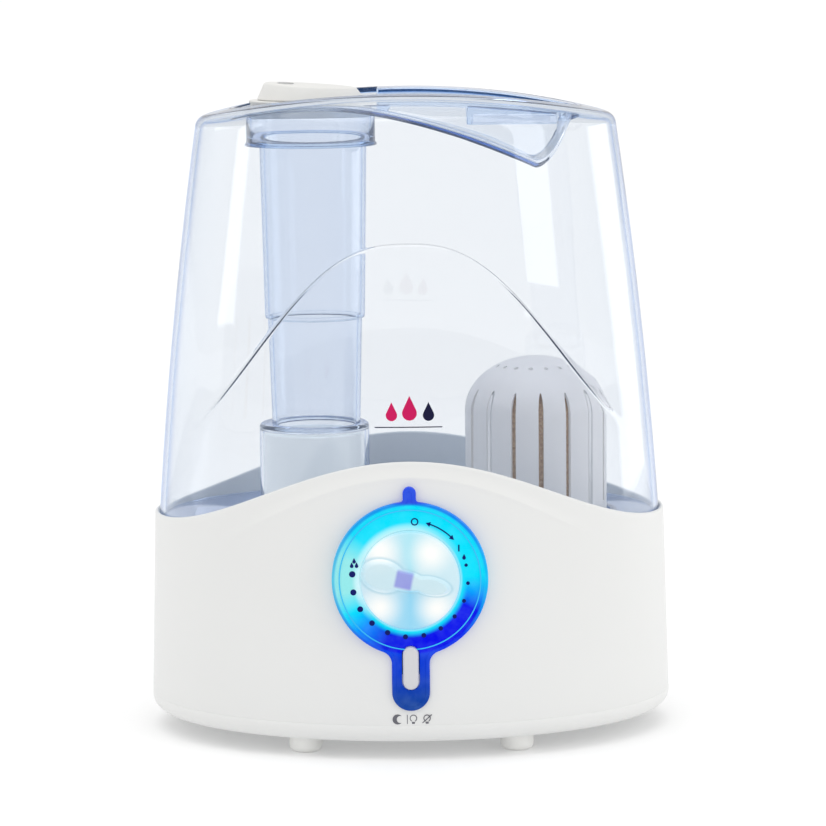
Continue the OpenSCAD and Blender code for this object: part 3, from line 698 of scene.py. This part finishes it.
def make_housing(mat):
    sides = 384
    ridge_rows = [-5, -3.4, -2.2, -1.4, -0.8, -0.3, 0, 0.3, 0.8, 1.4, 2.2, 3.4]

    def row(kind, value):
        points = []
        for angle in turned(sides):
            top = rim_z(angle)
            x = abs(BASE_A * cos(angle))
            fade = smooth_step((100 - x) / 45) if sin(angle) < 0 else 0.0
            ridge = top - (7.6 + 7.0 * (min(x, 100) / 87) ** 2)
            if kind == "low":
                z = lerp(SEAM + 1.6, ridge - 6, value)
            elif kind == "ridge":
                z = ridge + value
            elif kind == "high":
                z = lerp(ridge + 4.2, top - 1.1, value)
            elif kind == "rim":
                z = top - 1.1 + 1.1 * sind(value)
            else:
                z = lerp(top - 1.1, SEAM, value)
            out = 0.0
            if kind != "inner":
                out -= 0.9 * fade * smooth_step((z - ridge + 0.5) / 6.0)
                out += 0.25 * fade * exp(-((z - ridge) / 1.3) ** 2)
            if kind == "rim":
                thick = WALL + out
                out = out - thick / 2 * (1 - cosd(value))
            if kind == "inner":
                out = -WALL
            half = base_half(z)
            points.append(oval_point(angle, half, OVAL * half, z, out))
        return points

    foot = base_half(SEAM)
    rings = [[oval_point(t, foot, OVAL * foot, SEAM + up, -inset) for t in turned(sides)]
             for up, inset in ((0, 1.2), (0.5, 1.1), (0.75, 0.5), (1.1, 0.12))]
    rings += [row("low", k / 10) for k in range(11)]
    rings += [row("ridge", v) for v in ridge_rows]
    rings += [row("high", k / 5) for k in range(6)]
    rings += [row("rim", v) for v in (30, 60, 90, 120, 150)]
    rings += [row("inner", k / 5) for k in range(6)]
    housing = make_mesh("housing", *loft(rings, closed=True), mat)
    cut(housing, [prism_y(dial_outline(-LAP), -120, -60)])
    cut(housing, [prism_y(circle(0, 34, 6.6, 48), 60, 120)])
    settle(housing, 40, "base", "housing", ["base_shell"])


def make_underside(mat):
    z0, z1 = cover_low.z, cover_high.z
    sides = 384
    profile = [(119.0, z0)]
    profile += [(119 + 10 * sind(t), z0 + 7.6 * (1 - cosd(t)))
                for t in range(12, 91, 6)]
    profile += [(BASE_A - inset, z1 - down)
                for inset, down in ((0, 0.9), (0.15, 0.5), (0.6, 0.25), (1.2, 0), (6, 0))]
    profile.append((BASE_A - 6, z0 + 2.5))
    rings = [[(r * cos(t), (OVAL * BASE_A - BASE_A + r) * sin(t), z) for t in turned(sides)]
             for r, z in profile]
    cover = make_mesh("underside", *loft(rings), mat)
    fan_low, fan_high = box_mm("intake_filter")
    cx, cy = (fan_low.x + fan_high.x) / 2, (fan_low.y + fan_high.y) / 2
    cutters = [prism_z(stadium(cx + 6 * k, cy, 3, 28 - 2 * abs(k), 8), 0, 15) for k in range(-3, 4)]
    for x, y in ((113, 0), (-113, 0), (42, -75), (-42, -75), (30, 79), (-30, 79)):
        cutters.append(prism_z(circle(x, y, 3.3, 32), 0, z0 + 1.35))
    cut(cover, cutters)
    settle(cover, 40, "base", "housing", ["bottom_cover"])


def make_feet(mat):
    r = 8.0
    profile = [(0, 0), (r - 3.4, 0)] + arc(r - 3, 3, 3, -80, 0, 8) + [(r, foot_high.z), (0, foot_high.z)]
    pads = [lathe(profile, x, y, 64) for x in (-51, 51) for y in (-66, 66)]
    make_mesh("feet_pads", *gathered(pads), mat, "base", "foot_rubber", ["feet"])


# ---------------- dial


def dial_outline(grow=0.0, steps=20):
    """Outline of the lit ring with its tab and tail, as (x, z) points moved out by grow."""
    tail, tail_end, tab, tab_top = 9.0, bezel_low.z + 9.0, 3.15, bezel_high.z - 3.15
    big, small = 6.0, 1.5
    low_z = DIAL_Z - sqrt((RING_R + big) ** 2 - (tail + big) ** 2)
    low_turn = degrees(atan2(tail + big, DIAL_Z - low_z))
    top_z = DIAL_Z + sqrt((RING_R + small) ** 2 - (tab + small) ** 2)
    top_turn = degrees(atan2(tab + small, top_z - DIAL_Z))
    right = arc(0, tail_end, tail + grow, 270, 360, steps)
    right += arc(tail + big, low_z, big - grow, 180, 90 + low_turn, 10)
    right += arc(0, DIAL_Z, RING_R + grow, 270 + low_turn, 450 - top_turn, 6 * steps)
    right += arc(tab + small, top_z, small - grow, 270 - top_turn, 180, 6)
    right += arc(0, tab_top, tab + grow, 0, 90, 10)
    left = [(-x, z) for x, z in reversed(right[1:-1])]
    return right + left


def make_bezel(mat):
    front = bezel_low.y
    steps = [(0.0, -80.0), (0.0, front + 0.9), (-0.12, front + 0.45), (-0.4, front + 0.12), (-0.8, front),
             (-1.5, front), (-1.9, front + 0.12), (-2.2, front + 0.5)]
    rings = [[(x, y, z) for x, z in dial_outline(grow)] for grow, y in steps]
    bezel = make_mesh("lit_ring", *loft(rings), mat)
    half = base_half(120)
    back = prism_z([((half - WALL) * cos(t), (OVAL * half - WALL) * sin(t)) for t in turned(256)], 0, 200)
    seat = prism_y(circle(0, DIAL_Z, 24.0, 128), -120, -91)
    shaft = prism_y(circle(0, DIAL_Z, 3.8, 32), -120, -70)
    slot = prism_y(stadium(0, BUTTON_Z, 8.4, 21.8), -120, -70)
    cut(bezel, [back, seat, shaft, slot])
    tidy(bezel, 30)
    bezel.data.materials.clear()
    bezel.data.materials.append(mat)
    place(bezel, "base", "bezel_blue", ["dial_bezel"])


def make_dial_line(mat):
    """The fine raised line that runs round the light guide near its outer edge."""
    rings = []
    for turn in turned(8):
        r = 33.4 + 0.28 * cos(turn)
        y = bezel_low.y + 0.02 - 0.2 * sin(turn)
        rings.append([(x, max(y, bezel_low.y - 0.16), z) for x, z in circle(0, DIAL_Z, r, 192)])
    make_mesh("light_line", *loft(rings, closed=True), mat, "base", "bezel_blue")


def knob_height(x, z):
    """How far the knob's face stands out of its seat, with the raised grip."""
    r = hypot(x, z)
    radius = knob_high.x
    dome = 5.4 + 2.2 * (1 - (r / radius) ** 2)
    turn = radians(GRIP_TURN)
    u = x * cos(turn) - z * sin(turn)
    v = x * sin(turn) + z * cos(turn)
    lobes = [hypot((u - centre) / half, v / width) for centre, half, width in (LEFT_LOBE, RIGHT_LOBE, WAIST)]
    nearest = -log(sum(exp(-14 * k) for k in lobes)) / 14
    lift = smooth_step((1.06 - nearest) / 0.34)
    return dome + lift * max(0.0, min(3.0, KNOB_DEEP - dome))


def make_knob(mat):
    """The round knob: a side wall, a soft edge and a face shaped by knob_height."""
    radius = knob_high.x
    sides = 192
    base = knob_high.y
    face_share, steps = 0.94, 56

    def face_row(share, drop=0.0):
        return [(x, base - knob_height(x, z) + drop, DIAL_Z + z)
                for x, z in circle(0, 0, radius * share, sides)]

    rings = [[(x, base - h, z) for x, z in circle(0, DIAL_Z, r, sides)]
             for r, h in ((0.0, 0.0), (12.0, 0.0), (radius - 0.6, 0.0), (radius, 0.6), (radius, 3.0))]
    for share in (1.0, 0.995, 0.985, 0.965, face_share):
        soft = (share - face_share) / (1 - face_share)
        rings.append(face_row(share, 1.6 * (1 - sqrt(max(0.0, 1 - soft ** 2)))))
    rings += [face_row(face_share * (1 - k / steps)) for k in range(1, steps + 1)]
    points = [p for ring in rings for p in ring]
    make_mesh("lit_knob", points, ring_faces(rings, False), mat, "dial", "knob_white", ["knob"], 50)


def make_button(mat):
    front, back = button_low.y, -87.0
    steps = [(0, back), (0, front + 1.8), (-0.12, front + 1.2), (-0.5, front + 0.65), (-1.1, front + 0.25),
             (-1.9, front + 0.06), (-2.8, front)]
    rings = [[(x, y, z) for x, z in stadium(0, BUTTON_Z, 7.6 + 2 * grow, 21 + 2 * grow)] for grow, y in steps]
    button = make_mesh("night_button", *loft(rings), mat)
    stem = prism_y(circle(0, BUTTON_Z, 1.8, 32), back - 0.5, button_high.y)
    combine(button, [stem], "UNION")
    settle(button, 35, "button", "button_white", ["night_light_button"])


def dial_place(clock, radius):
    """(x, z) at a clock angle in degrees from the top, and a radius from the dial's axis."""
    return radius * sind(clock), DIAL_Z + radius * cosd(clock)


def printed(name, outlines, mat, body, slot, back, thickness=0.12):
    """Flat printed marks: each outline of (x, z) points becomes a thin plate standing on depth back."""
    plates = [loft([[(x, y, z) for x, z in outline] for y in (back + 0.25, back - thickness)])
              for outline in outlines]
    make_mesh(name, *gathered(plates), mat, body, slot)


def droplet(cx, cz, r, tip):
    """Outline of a drop with its point upwards."""
    side = degrees(acos(r / tip))
    return [(cx, cz + tip)] + arc(cx, cz, r, 90 + side, 450 - side, 14)


def stroke(path, width):
    """Outline of a line of constant width along a path of points."""
    left, right = [], []
    for k, (x, z) in enumerate(path):
        x0, z0 = path[max(0, k - 1)]
        x1, z1 = path[min(len(path) - 1, k + 1)]
        size = hypot(x1 - x0, z1 - z0)
        nx, nz = -(z1 - z0) / size * width / 2, (x1 - x0) / size * width / 2
        left.append((x + nx, z + nz))
        right.append((x - nx, z - nz))
    return left + right[::-1]


def make_scale(mat):
    """Dots that grow round the dial, drops at both ends, and an arrow between off and on."""
    marks = []
    for k in range(12):
        x, z = dial_place(75.5 + 18.25 * k, 27.4)
        marks.append(circle(x, z, 0.8 + 0.065 * k, 24))
    x, z = dial_place(68, 27.6)
    marks.append(droplet(x, z, 0.85, 1.9))
    x, z = dial_place(286.4, 27.4)
    for dx, dz in ((-1.15, -0.9), (1.15, -0.9), (0, 1.2)):
        marks.append(droplet(x + dx, z + dz, 0.85, 1.9))
    bow = [dial_place(19.5 + 24.5 * k / 16, 28.2) for k in range(17)]
    marks.append(stroke(bow, 0.6))
    for tip, tail in ((15.7, 20.2), (47.8, 43.3)):
        marks.append([dial_place(tip, 28.2), dial_place(tail, 29.4), dial_place(tail, 27.0)])
    # a ring for off and a bar for on
    x, z = dial_place(5, 27.9)
    off = circle(x, z, 1.5, 32)
    marks.append(stroke(off + off[:1], 0.6))
    x, z = dial_place(57, 27.6)
    marks.append(stroke([(x, z - 1.6), (x, z + 1.6)], 0.7))
    printed("dial_marks", marks, mat, "base", "bezel_blue", bezel_low.y + 0.5)


# ---------------- tank


def tank_half(z):
    return TANK_A if z < 109 else TANK_A - 0.0718 * (z - 109) - 0.0002 * (z - 109) ** 2


def tank_depth(half):
    return OVAL * half - 1.5


def crown(x, y):
    return CROWN_TOP - x * x / (2 * CROWN_R) - y * y / (2 * CROWN_CROSS_R)


def scoop_fall(x):
    if x <= -40:
        return 0.0
    if x <= 62:
        return ((x + 40) / 102) ** 1.7
    return max(0.0, 1 - ((x - 62) / 20) ** 2)


def scoop_floor(x, y):
    return min(309 - 29 * scoop_fall(x), crown(x, y) - 1.5)


def arch_z(x):
    """Height of the step that runs in an arch over the tank's front."""
    return 244.7 - 130 * (1 - exp(-(abs(x) / 95.4) ** 2.65))


def corner_r(angle):
    """Rounding between the tank's wall and its crown: small at the sides, large at front and back."""
    return CORNER + 15 * sin(angle) ** 2


def front_arch(angle):
    """Height of the step at an angle round the tank; it stays level at the back."""
    return lerp(150.0, arch_z(tank_half(190) * cos(angle)), smooth_step(-sin(angle) * 3))


def step_in(angle, z, arch):
    """How far the wall steps in: nothing at the sides and back, and less with height over the arch."""
    front = smooth_step((112 - abs(TANK_A * cos(angle))) / 18) if sin(angle) < 0 else 0.0
    return STEP_IN * front * exp(-max(0, z - arch) / 55)


def edge_z(angle):
    """Height where the tank's wall turns into the rounded corner."""
    z = 290.0
    r = corner_r(angle)
    for _ in range(8):
        a = tank_half(z) - r
        b = tank_depth(tank_half(z)) - r
        z = crown(a * cos(angle), b * sin(angle)) - r
    return z


def make_tank(mat):
    sides = 360
    bottom = tank_low.z
    near_arch = [-3, -2, -1.3, -0.8, -0.4, 0, 0.4, 0.8, 1.3, 2, 3]

    def wall(angle, z, inset, arch):
        half = tank_half(z)
        wide = 1.6 + 4.0 * smooth_step((abs(TANK_A * cos(angle)) - 50) / 50)
        step = step_in(angle, z, arch) * smooth_step((z - arch) / wide + 0.5)
        return oval_point(angle, half - inset, tank_depth(half) - inset, z, -step)

    def wall_rows(inset):
        rows = [[] for _ in range(2 + 18 + len(near_arch) + 26)]
        for angle in turned(sides):
            arch = front_arch(angle)
            top = edge_z(angle)
            heights = [bottom, bottom + 0.8]
            heights += [lerp(bottom + 2, arch - 5, k / 17) for k in range(18)]
            heights += [arch + d for d in near_arch]
            heights += [lerp(arch + 5, top, k / 25) for k in range(26)]
            for row, z in zip(rows, heights):
                row.append(wall(angle, z, inset, arch))
        return rows

    def corner_rows(inset):
        rows = []
        for turn in range(9, 91, 9):
            row = []
            for angle in turned(sides):
                z = edge_z(angle)
                half = tank_half(z)
                r = corner_r(angle) - inset
                out = r * cosd(turn) - corner_r(angle)
                step = step_in(angle, z, front_arch(angle)) * cosd(turn)
                row.append(oval_point(angle, half + out, tank_depth(half) + out,
                                      z + r * sind(turn), -step))
            rows.append(row)
        return rows

    def crown_rows(inset, steps):
        rows = []
        for k in range(1, steps + 1):
            row = []
            for angle in turned(sides):
                z = edge_z(angle)
                half = tank_half(z) - corner_r(angle)
                deep = tank_depth(tank_half(z)) - corner_r(angle)
                share = k / steps
                x = lerp(half, SCOOP_A + 0.2, share) * cos(angle)
                y = lerp(deep, SCOOP_B + 0.2, share) * sin(angle)
                row.append((x, y, crown(x, y) - inset))
            rows.append(row)
        return rows

    outer = wall_rows(0.0) + corner_rows(0.0) + crown_rows(0.0, 8)
    inner = wall_rows(TANK_WALL) + corner_rows(TANK_WALL) + crown_rows(TANK_WALL, 8)
    walls = loft(outer + inner[::-1], closed=True)
    make_mesh("tank_wall", *walls, mat, "tank", "tank_clear", ["tank_shell"], 40)


def make_scoop(mat):
    """The hand scoop: a sheet that falls from the nozzle towards the right, with an upright edge."""
    sides = 288
    rings_top, rings_low = [], []
    shares = [0.004] + [k / 34 for k in range(1, 35)]
    for share in shares:
        top, low = [], []
        for angle in turned(sides):
            reach_x, reach_y = SCOOP_A - SHEET - 2.0, SCOOP_B - SHEET - 2.0
            x, y = share * reach_x * cos(angle), share * reach_y * sin(angle)
            top.append((x, y, scoop_floor(x, y)))
            low.append((x, y, scoop_floor(x, y) - SHEET))
        rings_top.append(top)
        rings_low.append(low)

    def edge(inset, kind, value):
        row = []
        for angle in turned(sides):
            x, y = (SCOOP_A - inset) * cos(angle), (SCOOP_B - inset) * sin(angle)
            low, high = scoop_floor(x, y), crown(x, y)
            if kind == "floor":
                z = low + value * min(1.0, (high - low) / 4)
            elif kind == "under":
                z = low - SHEET + value
            else:
                z = high - value
            row.append((x, y, z))
        return row

    fillet = [(2 - 2 * sind(t), 2 * (1 - cosd(t))) for t in (22, 45, 68, 90)]
    fillet_in = [edge(SHEET + inset, "floor", up) for inset, up in fillet]
    fillet_out = [edge(inset, "under", up) for inset, up in fillet]
    rings = rings_low + fillet_out
    rings += [edge(0, "top", 0.4), edge(0.4, "top", 0), edge(SHEET - 0.4, "top", 0), edge(SHEET, "top", 0.4)]
    rings += fillet_in[::-1] + rings_top[::-1]
    scoop = make_mesh("hand_scoop", *loft(rings), mat)
    cut(scoop, [prism_z(circle(MIST_X, 0, 29.8, 144), 280, 330)])
    settle(scoop, 40, "tank", "tank_clear", ["tank_top"])


def make_tank_floor(mat):
    z0, z1 = 104.0, 106.4
    a, b = floor_high.x, floor_high.y
    plate = prism_z([(a * cos(t), b * sin(t)) for t in turned(360)], z0, z1, mat, "floor_plate")
    hat = turned_piece([(0, z0 - 0.5), (27.1, z0 - 0.5)] + arc(25.1, floor_high.z - 2, 2, 0, 90, 8)
                       + [(0, floor_high.z)], MIST_X, mat)
    neck = turned_piece(plug(40, floor_low.z, z1 - 0.6), CAP_X, mat)
    combine(plate, [hat, neck], "UNION")
    hollow = turned_piece([(0, 80), (25.5, 80)] + arc(24.0, floor_high.z - 3.5, 1.5, 0, 90, 6)
                          + [(0, floor_high.z - 2)], MIST_X)
    mouth = turned_piece(plug(21.85, 130, 160), LOWER_X)
    bore = turned_piece(plug(36.8, 80, 130), CAP_X)
    cut(plate, [hollow, mouth, bore])
    settle(plate, 40, "tank", "tank_clear", ["tank_floor"])


def make_chimney(mat):
    z0, z1 = lower_low.z, lower_high.z
    foot_r, head_r, wall = 21.7, lower_high.x - LOWER_X, 1.8
    lower = [(foot_r - wall, z0), (foot_r - 0.3, z0), (foot_r, z0 + 0.3), (head_r, z1), (head_r - wall, z1)]
    make_mesh("chimney_lower_tube", *lathe(lower, LOWER_X), mat, "tank", "chimney_clear", ["chimney_lower"])

    top, flange = upper_high.z, 288.0
    tube = turned_piece([(0, upper_low.z), (23.8, upper_low.z)] + arc(23.6, upper_low.z + 1.0, 1.0, -60, 0, 5)
                        + [(26.2, flange + 0.5), (0, flange + 0.5)], LOWER_X, mat, "upper_tube")
    collar = turned_piece([(0, flange), (31.8, flange)] + arc(31.8, flange + 0.6, 0.6, -60, 60, 6)
                          + [(31.6, flange + 2), (31.6, top), (0, top)], MIST_X, mat)
    combine(tube, [collar], "UNION")
    hollow = turned_piece(plug(29.8, flange + 2, 330), MIST_X)
    taper = turned_piece([(0, 205.1), (22.8, 205.1), (24.55, 300), (0, 300)], LOWER_X)
    seat = turned_piece(plug(23.35, 190, 203.2), LOWER_X)
    bore = turned_piece(plug(21.4, 190, 210), LOWER_X)
    cut(tube, [hollow, taper, seat, bore])
    tidy(tube, 40)
    tube.name = "chimney_upper_tube"
    place(tube, "tank", "chimney_clear", ["chimney_upper"])


def make_handle(mat):
    x0, x1 = -14.0, 84.4
    grip0, grip1, grip_z = 29.5, 76.0, 298.3
    steps = 60
    top = [(lerp(x0, x1, k / steps), crown(lerp(x0, x1, k / steps), 0) - 0.15) for k in range(steps + 1)]
    under = [(x1, crown(x1, 0) - 4), (grip1, grip_z), (grip0, grip_z), (grip0, crown(grip0, 0) - 5)]
    under += [(x, crown(x, 0) - 5) for x in (20, 10, 0)] + [(-7, crown(0, 0) - 5.5), (-9, 304.4), (x0, 305.3)]
    bar = prism_y(top + under, -12, 12, mat, "grip_bar")
    hollow = prism_y([(grip0 + 2.4, 290), (75, 290), (75, 304.5), (grip0 + 2.4, 304.5)], -9.6, 9.6)
    cut(bar, [hollow])
    tidy(bar, 30)
    soften(bar, 0.7, 3, 30)
    place(bar, "tank", "tank_clear", ["tank_handle"])


# ---------------- mist path


def make_mist_duct(mat):
    z0, z1 = duct_low.z, duct_high.z
    foot = prism_z(stadium_foot(0), z0, z0 + 7.3, mat, "duct_foot")
    tube = turned_piece([(0, z0 + 3), (24.9, z0 + 3)] + arc(23.6, z1 - 0.8, 0.8, 0, 90, 5) + [(0, z1)],
                        MIST_X, mat)
    combine(foot, [tube], "UNION")
    inside = prism_z(stadium_foot(-1.8), z0 - 1, z0 + 5.5)
    bore = turned_piece(plug(22.6, z0 - 2, z1 + 2), MIST_X)
    cut(foot, [inside, bore])
    tidy(foot, 35)
    foot.name = "mist_duct_tube"
    place(foot, "base", "housing", ["mist_duct"])


def stadium_foot(grow):
    """Outline of the duct's foot: a disc round the mist axis with a lobe to the left."""
    r = 37 + grow
    low, high, left = -3 - grow, 27 + grow, -107 - grow
    start = 180 - degrees(asin(high / r))
    end = 180 + degrees(asin(-low / r))
    return [(left, high), (left, low)] + arc(MIST_X, 0, r, end, 360 + start, 60)


def make_nozzle(mat):
    top, seat = spout_high.z, 310.6
    ring = [(23.38, 303), (29.2, 303), (29.5, 303.4), (29.5, 309.15), (30.0, 309.15)]
    ring += arc(29.7, 309.9, 0.5, 0, 90, 5) + [(23.38, 310.4)]
    make_mesh("nozzle_seat", *lathe(ring, MIST_X), mat, "nozzle", "nozzle_white", ["nozzle_ring"])

    profile = [(21.3, 305), (23.3, 305), (23.3, seat), (25.6, seat)] + arc(25.4, seat + 0.5, 0.6, -60, 20, 5)
    profile += arc(21.2, top - 2.2, 2.0, 20, 90, 8) + [(0, top - 0.2)]
    points, faces = lathe([(0, 316.0), (20.4, 316.0), (21.3, 315.0)] + profile, MIST_X)
    lean, pivot = tan(radians(4)), MIST_X - 23

    def slant(p):
        """Lowers the spout's top towards its right side."""
        x, y, z = p
        share = max(0.0, (z - seat - 1) / (top - seat - 1))
        return x, y, z - share * lean * (x - pivot)

    spout = make_mesh("mist_spout", [slant(p) for p in points], faces, mat)
    cut(spout, [prism_z(stadium(MIST_X - 12, 0, 8, 22), 308, 330)])
    settle(spout, 35, "spout", "nozzle_white", ["nozzle_spout"])


# ---------------- cartridge


def make_cartridge(mat):
    r, low, top = cart_high.x - CAP_X, cart_low.z, cart_high.z
    wall, rise, rise_in, sides = 2.2, 27.0, 25.0, 180
    ri, top_in = r - wall, top - wall

    def dome(radius, height, tall):
        return [(radius * cosd(t), height - tall + tall * sind(t)) for t in range(0, 90, 4)]

    outer = [(0, low), (r, low)] + dome(r, top, rise) + [(0, top)]
    shell = turned_piece(outer, CAP_X, mat, "cartridge", sides=sides)
    inner = [(0, 106), (ri, 106)] + dome(ri, top_in, rise_in) + [(0, top_in)]
    chamber = [(5, 80), (ri, 80), (ri, 104), (5, 104)]
    cut(shell, [turned_piece(inner, CAP_X, sides=sides), turned_piece(chamber, CAP_X),
                turned_piece(plug(6, 80, 96.8), CAP_X), turned_piece(plug(3.06, 80, 110), CAP_X)])
    # upright slots in the wall, and a ring of holes in the dome between them
    count = 16
    slot_side = [(1.25, 160), (1.0, 164.5), (0.45, 167.6)]
    outline = [(-1.25, 112), (1.25, 112)] + slot_side + [(0, 168.2)] + [(-x, z) for x, z in slot_side[::-1]]
    cutters = []
    for k in range(count):
        turn = radians(272 + 360 * k / count)
        c, s = cos(turn), sin(turn)
        rings = [[(CAP_X + d * c - x * s, d * s + x * c, z) for x, z in outline] for d in (16, 42)]
        cutters.append(make_mesh("slot", *loft(rings), None))
        turn += pi / count
        cutters.append(turned_piece(plug(1.15, 160, 190), CAP_X + 19 * cos(turn), y=19 * sin(turn), sides=16))
    cut(shell, cutters)
    settle(shell, 35, "cap", "cartridge_grey", ["cartridge_housing"])


# ---------------- printed marks


def make_tank_mark(mats):
    """A generic mark on the tank's front: three drops over a thin rule."""
    def on_tank(outline):
        rings = []
        for lift in (0.02, 0.14):
            ring = []
            for x, z in outline:
                half = tank_half(z) + lift
                angle = -acos(max(-1.0, min(1.0, x / half)))
                ring.append(oval_point(angle, half, tank_depth(tank_half(z)) + lift, z))
            rings.append(ring)
        return loft(rings)

    low = 159.5
    groups = {
        "mark_magenta": [droplet(-8.0, low + 5.6, 2.7, 6.2), droplet(0.5, low + 6.6, 3.5, 8.2)],
        "mark_navy": [droplet(9.5, low + 5.6, 2.7, 6.2),
                      stroke([(-16 + 2 * k, low) for k in range(17)], 0.5)],
    }
    for name, outlines in groups.items():
        make_mesh(name, *gathered(map(on_tank, outlines)), mats[name], "tank", "grey_plastic")


def make_button_mark(mat):
    """Signs under the night-light button: a crescent moon, a lamp and a crossed-out lamp."""
    cz = 20.6
    moon_x, lamp_x, off_x = -6.5, 1.0, 7.5
    marks = [arc(moon_x, cz, 2.4, 50, 310, 24) + arc(moon_x + 1.3, cz, 1.75, 290, 70, 18)]
    for x in (lamp_x, off_x):
        bulb = arc(x, cz + 0.5, 1.55, -60, 240, 20)
        marks.append(stroke(bulb, 0.42))
        marks.append([(x - 0.8, cz - 1.2), (x + 0.8, cz - 1.2), (x + 0.6, cz - 2.2), (x - 0.6, cz - 2.2)])
    marks.append(stroke([(off_x - 2.2, cz - 1.8), (off_x + 2.2, cz + 2.2)], 0.42))
    marks.append(stroke([(-1.9, cz - 2.2), (-1.9, cz + 2.2)], 0.35))
    printed("night_mark", marks, mat, "base", "grey_plastic", -OVAL * base_half(cz) + 0.12, 0.2)


# ---------------- carried-over CAD parts


def dress_cad(materials):
    """Gives every CAD node the material of its slot, and a small bevel to the moulded ones."""
    slots = {s["node"]: s["material_slot"] for s in frame["record"]["subparts"]}
    for name, node in NODES.items():
        node.data.materials.clear()
        node.data.materials.append(materials[slots[name]])
    NODES["base_deck"].data.materials[0] = materials["deck_white"]
    for name in ("base_deck", "fan_housing", "air_duct", "cord_gland", "driver_heatsink", "transformer_core",
                 "transformer_coil", "fill_cap"):
        merge = NODES[name].modifiers.new("merge", "WELD")
        merge.merge_threshold = 1e-6
        soften(NODES[name], 0.4, 2, 40)


make_camera()
make_lights()
make_floor()
mats = make_materials()
dress_cad(mats)
make_housing(mats["housing"])
make_underside(mats["housing"])
make_feet(mats["foot_rubber"])
make_bezel(mats["bezel_blue"])
make_dial_line(plastic("light_line", (0.04, 0.50, 0.86), 0.2, 0.02, 700, 0.02, specular=0.2))
make_knob(mats["knob_white"])
make_button(mats["button_white"])
navy = plastic("print_navy", (0.003, 0.008, 0.13), 0.4, 0.1, 900, 0.05, specular=0.1)
make_scale(navy)
make_tank(mats["tank_clear"])
make_scoop(mats["tank_clear"])
make_tank_floor(mats["tank_clear"])
make_chimney(mats["chimney_clear"])
make_handle(mats["grip_clear"])
make_mist_duct(mats["duct_frosted"])
make_nozzle(mats["nozzle_white"])
make_cartridge(mats["cartridge_grey"])
magenta = plastic("print_magenta", (0.55, 0.01, 0.10), 0.4, 0.08, 900, 0.05, specular=0.1)
dark = plastic("print_dark", (0.008, 0.008, 0.04), 0.4, 0.1, 900, 0.05, specular=0.1)
make_tank_mark({"mark_magenta": magenta, "mark_navy": dark})
make_button_mark(plastic("print_grey", (0.12, 0.12, 0.14), 0.5, 0.1, 900, 0.05))
